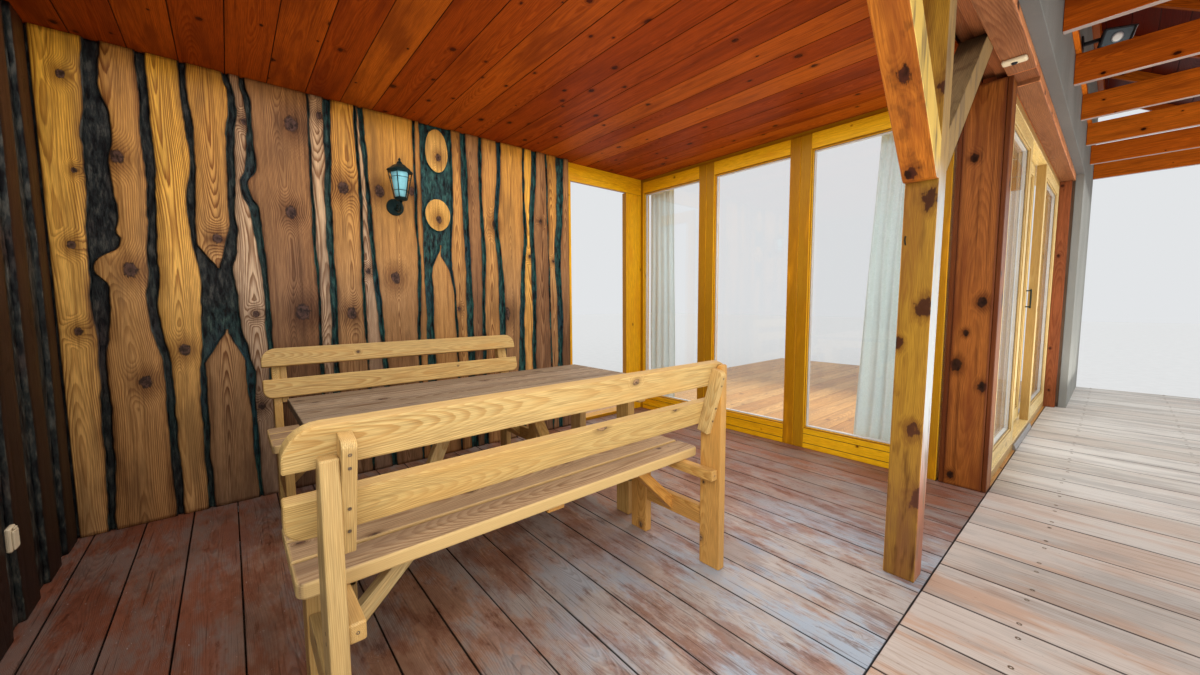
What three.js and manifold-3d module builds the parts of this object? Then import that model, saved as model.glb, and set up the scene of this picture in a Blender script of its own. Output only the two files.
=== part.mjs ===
// Covered corner porch of a houseboat, cut out of the superstructure as one standing section:
// bearers and joists, porch deck, side walkway, plank-clad walls, glazed wall, open doorway,
// sliding side door, braced post, ceiling and upper floor, walkway roof, benches and table.
// Millimetres, +Z up. Plan places are measured from one survey point on the walkway: x runs
// along the plank-clad wall, y runs from the walkway into the porch, z is height above the decks.

import * as THREE from 'three';
import { mergeVertices } from 'three/addons/utils/BufferGeometryUtils.js';
import Module from 'manifold-3d';

const wasm = await Module();
wasm.setup();

// Driving dimensions

const SECTION = { left: -790, right: 8400, outer: -1030, inner: 4280 };
const LEFT_FACE = -620;
const LEFT_WALL_FROM = 470;
const PLANK_FACE = 3220;
const WALL_REAR = 3375;
const SEAM = 437;
const WALK_EDGE = 431;
const GLAZED_FACE = 3352;
const GLAZED_REAR = 3442;
const CEILING = 2400;
const WALL_TOP = 3760;
const FIT = 0.3;
const LAP = 1;

const BOARD = { deck: 32, ceiling: 18, plank: 25, roof: 22, floor: 30, upper: 25 };
const JOIST = { wide: 60, high: 150 };
const BEARER = { wide: 110, high: 180 };
const JOIST_TOP = -BOARD.deck;
const BEARER_TOP = JOIST_TOP - JOIST.high;
const BASE = BEARER_TOP - BEARER.high;

const PORCH_BOARDS = { pitch: 183, joint: -19, groove: 7, depth: 20 };
const WALK_BOARDS = { pitch: 275, joint: 2020, groove: 9, depth: 20 };
const ROOM_BOARDS = { pitch: 400, joint: 600, groove: 3, depth: 4 };
const CEILING_BOARDS = { pitch: 183, joint: 60, groove: 6, depth: 6 };
const ROOF_BOARDS = { pitch: 180, joint: 0, groove: 8, depth: 8 };
const REAR_BOARDS = { pitch: 190, joint: 0, groove: 7, depth: 6 };

const BEAM = { outer: 345, inner: 464, low: 2365, high: 2560 };
const SKIN = { outer: 285, inner: 345, low: 2400 };
const POST = { outer: 465, inner: 577, footLeft: 2045, footRight: 2141, topLeft: 2115, topRight: 2215 };
const CORNER = { left: 3345, right: 3490, outer: 437, inner: 667 };
const FRAME_HEAD = { glass: 2256, top: 2370 };
const GLASS_FOOT = 155;
const PANE = 24;

const DOOR = { left: 2385, right: 3139, outer: 3245, stop: 3286, inner: 3334, head: 2252, lip: 15 };
const DOOR_AXIS = { x: 2380, y: 3344 };
const LEAF = { from: 13, to: 750, near: 9, far: 52, low: 40, high: 2244 };

const SIDE = { left: 3500, right: 6590, outer: 452, inner: 610, sill: 60, head: 2290, top: 2340 };
const SIDE_BAYS = { fixedTo: 4480, slideFrom: 4450, slideTo: 5430, farFrom: 5400 };
const OUTER_TRACK = { outer: 455, inner: 515 };
const INNER_TRACK = { outer: 525, inner: 585 };
const JAMB_END = 6650;

const ROOF = {
  joistLow: 2620, joistHigh: 2820, thick: 45, postLine: -790, firstJoist: -230, pitch: 930,
  ledgerLow: 3530, ledgerHigh: 3680, eaveY: -1010, eaveZ: 2870,
};

const BENCH = { length: 1540, seatTop: 480, seatFrom: 174, postDeep: 102, postTop: 880 };
const NEAR_BENCH = { x: 62, y: 1026, turned: false };
const FAR_BENCH = { x: 120, y: 3050, turned: true };
const TABLE = { left: 170, right: 1690, outer: 1520, inner: 2250, top: 740, thick: 34 };
const LANTERN = { x: 908, plate: 1790, bodyY: 3080, bodyLow: 1812, bodyHigh: 2000, tip: 2085 };

// Materials

function finish(color, roughness, metalness = 0) {
  return () => new THREE.MeshStandardMaterial({ color, roughness, metalness });
}

const varnishedPine = finish(0xa8581f, 0.35);
const brownPine = finish(0x7d4016, 0.45);
const goldPine = finish(0xd7962a, 0.4);
const benchPine = finish(0xdcae62, 0.5);
const greyPine = finish(0x8d7256, 0.7);
const porchPaint = finish(0x7e4a3a, 0.75);
const walkwayPaint = finish(0xa98e80, 0.8);
const bearerTimber = finish(0x6b5644, 0.85);
const floorPine = finish(0xc79a63, 0.4);
const render = finish(0x9ea09b, 0.9);
const redPine = finish(0x7c2f17, 0.5);
const paneGlass = () => new THREE.MeshStandardMaterial({
  color: 0xdfeae8, roughness: 0.05, metalness: 0, transparent: true, opacity: 0.35,
});
const darkMetal = finish(0x15211f, 0.45, 0.7);
const silverMetal = finish(0xb9bdc0, 0.35, 0.9);
const creamPlastic = finish(0xe9dfc3, 0.5);
const blackPlastic = finish(0x1b1b1c, 0.5);
const curtainCloth = finish(0xe8e9ea, 0.95);

// Solids

function solid(geometry) {
  const bare = geometry.clone();
  bare.deleteAttribute('normal');
  bare.deleteAttribute('uv');
  const joined = mergeVertices(bare, 1e-4);
  return new wasm.Manifold(new wasm.Mesh({
    numProp: 3,
    vertProperties: new Float32Array(joined.attributes.position.array),
    triVerts: new Uint32Array(joined.index.array),
  }));
}

function geometryOf(manifold) {
  const mesh = manifold.getMesh();
  const geometry = new THREE.BufferGeometry();
  geometry.setAttribute('position', new THREE.BufferAttribute(mesh.vertProperties, 3));
  geometry.setIndex(new THREE.BufferAttribute(mesh.triVerts, 1));
  return geometry;
}

function fuse(geometries) {
  return geometryOf(geometries.map(solid).reduce((whole, piece) => whole.add(piece)));
}

function cut(geometry, cutters) {
  return geometryOf(cutters.map(solid).reduce((whole, piece) => whole.subtract(piece), solid(geometry)));
}

function box(x0, x1, y0, y1, z0, z1) {
  const geometry = new THREE.BoxGeometry(x1 - x0, y1 - y0, z1 - z0);
  return geometry.translate((x0 + x1) / 2, (y0 + y1) / 2, (z0 + z1) / 2);
}

function outline(points) {
  return new THREE.Shape(points.map(([u, v]) => new THREE.Vector2(u, v)));
}

function extrude(shape, depth, steps = 6) {
  return new THREE.ExtrudeGeometry(shape, { depth, bevelEnabled: false, curveSegments: steps });
}

// A section drawn in (x, z), run along y.
function alongY(shape, y0, y1) {
  return extrude(shape, y1 - y0).rotateX(Math.PI / 2).translate(0, y1, 0);
}

// A section drawn in (y, z), run along x.
function alongX(shape, x0, x1) {
  return extrude(shape, x1 - x0).rotateX(Math.PI / 2).rotateZ(Math.PI / 2).translate(x0, 0, 0);
}

// A section drawn in (x, y), run upward.
function alongZ(shape, z0, z1) {
  return extrude(shape, z1 - z0).translate(0, 0, z0);
}

// Tongued boards as one strip section: a groove in the face over every joint. The face is high
// or low, whichever is given first in heights.
function boardSection(from, to, heights, boards) {
  const { face, back } = heights;
  const floor = face + Math.sign(back - face) * boards.depth;
  const points = [[from, back], [from, face]];
  const half = boards.groove / 2;
  let joint = boards.joint - Math.floor((boards.joint - from) / boards.pitch) * boards.pitch;
  for (; joint < to - boards.groove; joint += boards.pitch) {
    if (joint > from + boards.groove) {
      points.push([joint - half, face], [joint - half, floor], [joint + half, floor], [joint + half, face]);
    }
  }
  points.push([to, face], [to, back]);
  return outline(points);
}

// A frame of four members round one opening, standing in the x-z plane.
function frameAlongX(x0, x1, y0, y1, z0, z1, side, foot, head) {
  return cut(box(x0, x1, y0, y1, z0, z1), [
    box(x0 + side, x1 - side, y0 - LAP, y1 + LAP, z0 + foot, z1 - head),
  ]);
}

const part = new THREE.Group();
part.position.set(
  -(SECTION.left + SECTION.right) / 2,
  -(SECTION.outer + SECTION.inner) / 2,
  -BASE,
);

function add(name, geometry, material, parent = part) {
  const mesh = new THREE.Mesh(geometry, material());
  mesh.name = name;
  parent.add(mesh);
  return mesh;
}

// Base: bearers across the section, joists along it

function spread(from, to, count) {
  return Array.from({ length: count }, (_, i) => from + ((to - from) * i) / (count - 1));
}

function bearerFrame() {
  const half = BEARER.wide / 2;
  const bearers = spread(SECTION.left + half, SECTION.right - half, 11).map((x) => (
    box(x - half, x + half, SECTION.outer, SECTION.inner, BASE, BEARER_TOP)
  ));
  const runners = [SECTION.outer + 60, SECTION.inner - 120].map((y) => (
    box(SECTION.left + half, SECTION.right - half, y, y + 60, BASE + 60, BEARER_TOP - 30)
  ));
  add('bearer_frame', fuse([...bearers, ...runners]), bearerTimber);
}

function joistFrame() {
  const half = JOIST.wide / 2;
  const rim = 45;
  const outerLines = spread(SECTION.outer + half, SEAM - 3, 4);
  const innerLines = spread(880, SECTION.inner - half, 7);
  const wide = (y) => (y === outerLines[3] ? JOIST.wide : half);
  const lines = [...outerLines, ...innerLines];
  const bays = lines.slice(1).map((y, i) => box(
    SECTION.left + rim, SECTION.right - rim, lines[i] + wide(lines[i]), y - wide(y),
    BEARER_TOP - LAP, JOIST_TOP + LAP,
  ));
  const whole = box(SECTION.left, SECTION.right, SECTION.outer, SECTION.inner, BEARER_TOP, JOIST_TOP);
  add('joist_frame', cut(whole, bays), bearerTimber);
}

function decks() {
  const deck = { face: 0, back: JOIST_TOP };
  const boards = alongY(boardSection(SECTION.left, GLAZED_FACE, deck, PORCH_BOARDS), SEAM, WALL_REAR);
  const corner = box(GLAZED_FACE - LAP, CORNER.right, SEAM, GLAZED_Y.right, JOIST_TOP, 0);
  add('porch_deck', fuse([boards, corner]), porchPaint);
  add('walkway_deck', alongY(
    boardSection(SECTION.left, SECTION.right, deck, WALK_BOARDS), SECTION.outer, WALK_EDGE,
  ), walkwayPaint);
}

function roomFloor() {
  const room = outline([
    [SECTION.left, WALL_REAR], [GLAZED_FACE, WALL_REAR], [GLAZED_FACE, GLAZED_Y.right],
    [CORNER.right, GLAZED_Y.right],
    [CORNER.right, SEAM], [SECTION.right, SEAM], [SECTION.right, SECTION.inner], [SECTION.left, SECTION.inner],
  ]);
  add('room_floor', alongZ(room, JOIST_TOP, 0), floorPine);
}

// Live-edge planks

// Bark gaps in the plank wall. x at the ceiling and at the deck, width there, then one bend and
// one swelling: the height where it is strongest and how far it goes.
// Columns: top, foot, wideTop, wideFoot, bendAt, bendBy, swellAt, swellBy
const BARK_GAPS = [
  [-429, -505, 57, 28, 1600, 12, 1700, 45],
  [-264, -255, 37, 33, 1350, -22, 600, 0],
  [-115, -130, 32, 26, 1975, 14, 900, 45],
  [62, 88, 35, 20, 1650, -22, 850, 22],
  [151, 200, 27, 30, 1825, -26, 1700, 14],
  [436, 428, 13, 16, 1100, 6, 600, 0],
  [534, 500, 37, 25, 1700, -10, 600, 0],
  [688, 698, 18, 12, 1850, 10, 600, 0],
  [720, 835, 25, 32, 1475, -6, 600, 0],
  [1050, 1030, 15, 20, 1400, 14, 600, 0],
  [1308, 1322, 12, 12, 1500, -28, 600, 0],
  [1402, 1430, 40, 60, 1350, 6, 600, 0],
  [1536, 1530, 22, 34, 1475, 16, 600, 0],
  [1692, 1700, 34, 40, 1775, -36, 1050, 22],
  [1920, 1850, 12, 76, 1700, 24, 300, 0],
  [2020, 1978, 45, 30, 1775, -24, 600, 0],
  [2137, 2178, 10, 10, 1300, 0, 600, 0],
  [2280, 2255, 76, 42, 1500, -26, 600, 0],
];
const BEND_SPREAD = 260;
const EDGE_STEPS = 9;
const PLANK_ENDS = { left: LEFT_FACE + 5, right: 2375 };
const CORE_END = 2310;
const PLANK_FOOT = 2;
const PLANK_TOP = CEILING - 2;
const KNOT_PANEL = { left: 1098, right: 1300, gap: 9 };
const KNOT_DISCS = [
  { x: 1205, z: 2225, halfWide: 80, halfHigh: 150 },
  { x: 1200, z: 1775, halfWide: 88, halfHigh: 112 },
];

function bump(z, at, spreadBy) {
  return Math.exp(-(((z - at) / spreadBy) ** 2));
}

function gapEdge([top, foot, wideTop, wideFoot, bendAt, bendBy, swellAt, swellBy], z, side) {
  const up = z / CEILING;
  const centre = foot + (top - foot) * up + bendBy * bump(z, bendAt, BEND_SPREAD);
  const wide = wideFoot + (wideTop - wideFoot) * up + swellBy * bump(z, swellAt, BEND_SPREAD);
  return centre + (side * wide) / 2;
}

function plankOutline(leftOf, rightOf, z0, z1, steps = EDGE_STEPS) {
  const heights = spread(z0, z1, steps + 1);
  const up = heights.map((z) => [rightOf(z), z]);
  const down = heights.map((z) => [leftOf(z), z]).reverse();
  return outline([...up, ...down]);
}

// The outline of the split plank between the second and the fourth bark gap: a tongue that hangs
// down and a lower piece that rises to a point.
function splitPlank(plank) {
  const left = (z) => gapEdge(BARK_GAPS[2], z, 1);
  const right = (z) => gapEdge(BARK_GAPS[3], z, -1);
  const tongueTip = [5, 1350];
  const lowerTip = [-5, 1000];
  plank(outline([
    ...spread(1560, PLANK_TOP, 5).map((z) => [right(z), z]),
    ...spread(PLANK_TOP, 1560, 5).map((z) => [left(z), z]),
    tongueTip,
  ]));
  plank(outline([
    ...spread(820, PLANK_FOOT, 5).map((z) => [left(z), z]),
    ...spread(PLANK_FOOT, 820, 5).map((z) => [right(z), z]),
    lowerTip,
  ]));
}

function knotPanel(plank) {
  for (const { x, z, halfWide, halfHigh } of KNOT_DISCS) {
    plank(new THREE.Shape().absellipse(x, z, halfWide, halfHigh, 0, Math.PI * 2));
  }
  const forkTip = 1560;
  const left = (z) => Math.min(1207, 1145 + 62 * bump(z, forkTip, 230));
  const right = (z) => Math.max(1209, gapEdge(BARK_GAPS[10], z, -1) - 90 * bump(z, forkTip, 330));
  plank(plankOutline(left, right, PLANK_FOOT, forkTip, 7));
}

function plankWall() {
  const rear = PLANK_FACE + BOARD.plank;
  const backing = box(SECTION.left, PLANK_ENDS.right, rear, rear + 20, 0, CEILING);
  const pieces = [backing];
  const plank = (shape) => pieces.push(alongY(shape, PLANK_FACE, rear + LAP));
  const edges = [() => PLANK_ENDS.left, ...BARK_GAPS.map((gap) => (z) => gapEdge(gap, z, 1))];
  const ends = [...BARK_GAPS.map((gap) => (z) => gapEdge(gap, z, -1)), () => PLANK_ENDS.right];
  edges.forEach((left, i) => {
    if (i === 3) {
      splitPlank(plank);
    } else if (i === 10) {
      plank(plankOutline(left, () => KNOT_PANEL.left - KNOT_PANEL.gap, PLANK_FOOT, PLANK_TOP, 5));
      knotPanel(plank);
    } else {
      plank(plankOutline(left, ends[i], PLANK_FOOT, PLANK_TOP));
    }
  });
  add('back_wall_planks', fuse(pieces), varnishedPine);
}

function backWallCore() {
  const front = PLANK_FACE + BOARD.plank + 20;
  const rear = boardSection(SECTION.left, CORE_END, { face: WALL_REAR, back: front }, REAR_BOARDS);
  add('back_wall_core', alongZ(rear, 0, CEILING), redPine);
}

const SIDE_PLANKS = { pitch: 280, wide: 145, first: 3215 };

function leftWall() {
  const faceBack = LEFT_FACE - BOARD.plank;
  const y1 = PLANK_FACE + BOARD.plank;
  const pieces = [box(faceBack - 20, faceBack, LEFT_WALL_FROM, y1, 0, CEILING)];
  for (let right = SIDE_PLANKS.first; right > LEFT_WALL_FROM + 100; right -= SIDE_PLANKS.pitch) {
    const sway = (z) => 10 * Math.sin(z / 330 + right);
    const swell = (z) => 12 * Math.sin(z / 510 + right * 2);
    const shape = plankOutline(
      (z) => Math.max(LEFT_WALL_FROM, right - SIDE_PLANKS.wide + sway(z) - swell(z)),
      (z) => Math.min(PLANK_FACE, right + sway(z)),
      PLANK_FOOT, PLANK_TOP, 6,
    );
    pieces.push(alongX(shape, faceBack - LAP, LEFT_FACE));
  }
  add('left_wall_planks', fuse(pieces), brownPine);
  const outerFace = boardSection(LEFT_WALL_FROM, y1, { face: SECTION.left, back: faceBack - 20 }, REAR_BOARDS);
  const core = alongZ(outerFace, 0, CEILING);
  add('left_wall_core', core.applyMatrix4(new THREE.Matrix4().set(
    0, 1, 0, 0,
    1, 0, 0, 0,
    0, 0, -1, CEILING,
    0, 0, 0, 1,
  )), redPine);
}

// Doorway and its open leaf

function doorwayFrame() {
  const { left, right, outer, stop, inner, head, lip } = DOOR;
  const whole = fuse([
    box(PLANK_ENDS.right + FIT, GLAZED_FACE, outer, inner, 0, CEILING),
    box(CORE_END, PLANK_ENDS.right + LAP, outer + 20 + FIT, inner, 0, CEILING),
  ]);
  const passage = [
    box(left, right, stop, inner + LAP, 30, head),
    box(left + lip, right - lip, outer - LAP, stop + LAP, 30, head - lip),
  ];
  const sill = box(left - LAP, right + LAP, inner - 20, WALL_REAR, 0, 31);
  const knuckles = HINGE_HEIGHTS.map((z) => knuckle(z - KNUCKLE.high - FIT, z - FIT, -1));
  add('doorway_frame', fuse([cut(whole, passage), sill, ...knuckles]), goldPine);
}

const KNUCKLE = { radius: 8, high: 42 };
const HINGE_HEIGHTS = [330, 1150, 1960];

// A hinge knuckle on the axis with its leaf, to the jamb (-1) or to the open door (1).
function knuckle(z0, z1, side) {
  const { x, y } = DOOR_AXIS;
  const pin = new THREE.CylinderGeometry(KNUCKLE.radius, KNUCKLE.radius, z1 - z0, 10);
  pin.rotateX(Math.PI / 2).translate(x, y, (z0 + z1) / 2);
  const plate = side < 0
    ? box(x - 22, x, DOOR.inner - LAP, y, z0, z1)
    : box(x, x + LEAF.near + LAP, y, y + 26, z0, z1);
  return fuse([pin, plate]);
}

function entryDoor() {
  const { x, y } = DOOR_AXIS;
  const { from, to, near, far, low, high } = LEAF;
  const slab = box(x + near, x + far, y + from, y + to, low, high);
  const light = box(x + near - LAP, x + far + LAP, y + from + 110, y + to - 110, low + 240, high - 120);
  const knuckles = HINGE_HEIGHTS.map((z) => knuckle(z, z + KNUCKLE.high, 1));
  add('entry_door_leaf', fuse([cut(slab, [light]), ...knuckles]), goldPine);
  const middle = x + (near + far) / 2;
  add('entry_door_pane', box(
    middle - PANE / 2, middle + PANE / 2, y + from + 110, y + to - 110, low + 240, high - 120,
  ), paneGlass);
  const spindle = box(x + near - 36, x + near - FIT, y + to - 62, y + to - 50, 1046, 1058);
  const lever = box(x + near - 48, x + near - 35, y + to - 160, y + to - 50, 1043, 1061);
  add('entry_door_handle', fuse([spindle, lever]), silverMetal);
}

// Glazed wall between porch and room

const MULLIONS = [1604, 2457];
const MULLION_HALF = 80;
const GLAZED_Y = { right: 680, rightGlass: 770, left: 3334, leftGlass: 3270 };
const WALL_PANES = [
  { name: 'glazed_pane_1', from: MULLIONS[1] + MULLION_HALF, to: 3245 },
  { name: 'glazed_pane_2', from: MULLIONS[0] + MULLION_HALF, to: MULLIONS[1] - MULLION_HALF },
  { name: 'glazed_pane_3', from: GLAZED_Y.rightGlass, to: MULLIONS[0] - MULLION_HALF },
];

function glazedWall() {
  const whole = box(GLAZED_FACE, GLAZED_REAR, GLAZED_Y.right, GLAZED_Y.left, 0, CEILING);
  const holes = WALL_PANES.map(({ from, to }) => (
    box(GLAZED_FACE - LAP, GLAZED_REAR + LAP, from, to, GLASS_FOOT, FRAME_HEAD.glass)
  ));
  const step = box(GLAZED_FACE - LAP, GLAZED_FACE + 12, GLAZED_Y.right - LAP, GLAZED_Y.left + LAP,
    FRAME_HEAD.top, CEILING + LAP);
  add('glazed_wall_frame', cut(whole, [...holes, step]), goldPine);
  const glassAt = GLAZED_FACE + 34;
  for (const { name, from, to } of WALL_PANES) {
    add(name, box(glassAt, glassAt + PANE, from, to, GLASS_FOOT, FRAME_HEAD.glass), paneGlass);
  }
}

// Sliding side door between two fixed lights

const SASH = { side: 90, foot: 110, head: 90 };

function sash(name, x0, x1, track, low, high, runners = []) {
  const frame = frameAlongX(x0, x1, track.outer, track.inner, low, high, SASH.side, SASH.foot, SASH.head);
  add(name, runners.length ? fuse([frame, ...runners]) : frame, goldPine);
  const middle = (track.outer + track.inner) / 2;
  add(`${name}_pane`, box(
    x0 + SASH.side, x1 - SASH.side, middle - PANE / 2, middle + PANE / 2, low + SASH.foot, high - SASH.head,
  ), paneGlass);
}

function sideSet() {
  const { left, right, outer, inner, sill, head, top } = SIDE;
  const frame = cut(box(left, JAMB_END, outer, inner, 0, top), [
    box(left + 60, right, outer - LAP, inner + LAP, sill, head),
  ]);
  const track = box(left + 59, right + LAP, 545, 565, sill - LAP, sill + 8);
  add('side_set_frame', fuse([frame, track]), goldPine);
  const { fixedTo, slideFrom, slideTo, farFrom } = SIDE_BAYS;
  sash('side_light_near', left + 60, fixedTo, OUTER_TRACK, sill, head);
  sash('side_light_far', farFrom, right, OUTER_TRACK, sill, head);
  const rollers = [slideFrom + 120, slideTo - 160].map((x) => (
    box(x, x + 40, 547, 563, sill + 8 + FIT, sill + 15 + LAP)
  ));
  sash('side_door_leaf', slideFrom, slideTo, INNER_TRACK, sill + 15, head - 8, rollers);
  const gripAt = slideTo - 70;
  const grip = box(gripAt, gripAt + 12, 488, 496, 1060, 1230);
  const feet = [1068, 1208].map((z) => (
    box(gripAt + 2, gripAt + 10, 495, INNER_TRACK.outer - FIT, z, z + 14)
  ));
  add('side_door_handle', fuse([grip, ...feet]), darkMetal);
  add('side_threshold', alongX(outline([
    [WALK_EDGE, 0], [outer - FIT, 0], [outer - FIT, 42], [outer - 9, 42], [WALK_EDGE, 12],
  ]), fixedTo, farFrom), silverMetal);
}

// Post, braces, beam and corner post

function postAt(z, foot, top) {
  return foot + ((top - foot) * z) / CEILING;
}

const BRACES = {
  left: { bottom: 1600, crotch: 1752, topOuter: 1349, topInner: 1523, bottomOuter: 2058 },
  right: { tip: 1642, crotch: 1808, topInner: 2816, topOuter: 2968 },
};

function postAndBraces() {
  const { outer, inner, footLeft, footRight, topLeft, topRight } = POST;
  const leftOf = (z) => postAt(z, footLeft, topLeft);
  const rightOf = (z) => postAt(z, footRight, topRight);
  add('porch_post', alongY(outline([
    [footLeft, 0], [footRight, 0], [topRight, CEILING], [topLeft, CEILING],
  ]), outer, inner), brownPine);
  const { left, right } = BRACES;
  add('brace_left', alongY(outline([
    [left.bottomOuter, left.bottom], [leftOf(left.bottom) - FIT, left.bottom],
    [leftOf(left.crotch) - FIT, left.crotch], [left.topInner, CEILING], [left.topOuter, CEILING],
  ]), outer, inner), brownPine);
  add('brace_right', alongY(outline([
    [rightOf(right.tip) + FIT, right.tip], [right.topOuter, CEILING],
    [right.topInner, CEILING], [rightOf(right.crotch) + FIT, right.crotch],
  ]), outer, inner), benchPine);
}

function beamAndCorner() {
  const { outer, inner, low, high } = BEAM;
  add('porch_beam', fuse([
    box(SECTION.left, CORNER.right, outer, inner, low, high),
    box(CORNER.right, JAMB_END, outer, SIDE.inner, SIDE.top, high),
  ]), brownPine);
  const { left, right } = CORNER;
  const strip = 7;
  add('corner_post', alongZ(outline([
    [left + strip, CORNER.outer], [right, CORNER.outer], [right, CORNER.inner], [left + strip, CORNER.inner],
    [left + strip, CORNER.inner - 26], [left, CORNER.inner - 26], [left, CORNER.outer + 22],
    [left + strip, CORNER.outer + 22],
  ]), 0, low), brownPine);
  add('far_jamb', box(JAMB_END - 60, JAMB_END, SKIN.inner + 18, SIDE.outer, 0, SIDE.top), redPine);
}

// Ceiling, upper floor and rendered wall

function ceilingAndFloor() {
  const boards = boardSection(SECTION.left, GLAZED_REAR, { face: CEILING, back: CEILING + BOARD.ceiling }, CEILING_BOARDS);
  add('ceiling_boards', alongY(boards, POST.inner + 4, WALL_REAR), varnishedPine);
  const low = CEILING + BOARD.ceiling;
  const side = 60;
  const { inner } = POST;
  const whole = alongX(outline([
    [POST.outer, CEILING], [inner + 3, CEILING], [inner + 3, low], [WALL_REAR, low],
    [WALL_REAR, BEAM.high], [POST.outer, BEAM.high],
  ]), SECTION.left, GLAZED_REAR);
  const joists = [inner + 3 - side, 1150, 1720, 2290, 2860, WALL_REAR - side];
  const bays = joists.slice(1).map((y, i) => box(
    SECTION.left + side, GLAZED_REAR - side, joists[i] + side, y, CEILING - LAP, BEAM.high + LAP,
  ));
  add('ceiling_frame', cut(whole, bays), brownPine);
  add('upper_floor', box(SECTION.left, GLAZED_REAR, BEAM.outer, WALL_REAR, BEAM.high, BEAM.high + BOARD.upper), floorPine);
}

function renderedWall() {
  add('rendered_wall', alongY(outline([
    [SECTION.left, SKIN.low], [JAMB_END, SKIN.low], [JAMB_END, 0], [SECTION.right, 0],
    [SECTION.right, WALL_TOP], [SECTION.left, WALL_TOP],
  ]), SKIN.outer, SKIN.inner), render);
}

function wallStuds() {
  const { outer, high } = BEAM;
  const floorTop = high + BOARD.upper;
  const deep = 100;
  const stud = 45;
  const whole = alongY(outline([
    [JAMB_END, 0], [SECTION.right, 0], [SECTION.right, WALL_TOP], [SECTION.left, WALL_TOP],
    [SECTION.left, floorTop], [GLAZED_REAR + FIT, floorTop], [GLAZED_REAR + FIT, high], [JAMB_END, high],
  ]), outer, outer + deep);
  const bays = (from, to, count, foot, top) => {
    const lines = spread(from, to, count);
    return lines.slice(1).map((x, i) => box(
      lines[i] + stud, x, outer - LAP, outer + deep + LAP, foot + stud, top - stud,
    ));
  };
  add('wall_studs', cut(whole, [
    ...bays(SECTION.left, GLAZED_REAR, 6, floorTop, WALL_TOP),
    ...bays(GLAZED_REAR, JAMB_END, 5, floorTop, WALL_TOP),
    ...bays(JAMB_END, SECTION.right - stud, 4, 0, high + stud),
    ...bays(JAMB_END, SECTION.right - stud, 4, high, WALL_TOP),
  ]), floorPine);
}

// Walkway roof

function roofFrame() {
  const wall = SKIN.outer;
  const count = Math.floor((SECTION.right - ROOF.firstJoist - ROOF.thick) / ROOF.pitch) + 1;
  const places = Array.from({ length: count }, (_, i) => ROOF.firstJoist + i * ROOF.pitch + 137);
  const slope = (ROOF.ledgerHigh - ROOF.eaveZ) / (wall - ROOF.eaveY);
  const rafterDeep = 110;
  const pieces = places.flatMap((x) => [
    box(x, x + ROOF.thick, ROOF.eaveY + 60, wall, ROOF.joistLow, ROOF.joistHigh),
    alongX(outline([
      [ROOF.eaveY, ROOF.eaveZ - rafterDeep], [wall, ROOF.ledgerHigh - rafterDeep],
      [wall, ROOF.ledgerHigh], [ROOF.eaveY, ROOF.eaveZ],
    ]), x, x + ROOF.thick),
  ]);
  const from = places[0];
  const to = places[places.length - 1] + ROOF.thick;
  const ledger = box(from, to, wall - 45, wall, ROOF.ledgerLow, ROOF.ledgerHigh - 45 * slope);
  const lowLedger = box(from, to, wall - 30, wall, ROOF.joistHigh - 30, ROOF.joistHigh + 30);
  const purlin = box(from, to, ROOF.postLine - 60, ROOF.postLine + 60, ROOF.joistLow - 200, ROOF.joistLow + 3);
  add('walkway_roof_frame', fuse([...pieces, ledger, lowLedger, purlin]), varnishedPine);
  return { slope, from, to };
}

function roofBoards({ slope, from, to }) {
  const angle = Math.atan(slope);
  const length = (SKIN.outer - ROOF.eaveY) / Math.cos(angle) - 20;
  const section = boardSection(0, length, { face: 0, back: BOARD.roof }, ROOF_BOARDS);
  const boards = alongX(section, from, to);
  boards.rotateX(angle).translate(0, ROOF.eaveY, ROOF.eaveZ + FIT);
  add('walkway_roof_boards', boards, redPine);
}

const OUTER_POSTS = [
  { name: 'outer_post_1', x: 150 },
  { name: 'outer_post_2', x: 4050 },
  { name: 'outer_post_3', x: 7950 },
];

function outerPosts() {
  for (const { name, x } of OUTER_POSTS) {
    add(name, box(x - 55, x + 55, ROOF.postLine - 55, ROOF.postLine + 55, 0, ROOF.joistLow - 200), brownPine);
  }
}

// Lamps and small fittings

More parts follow.
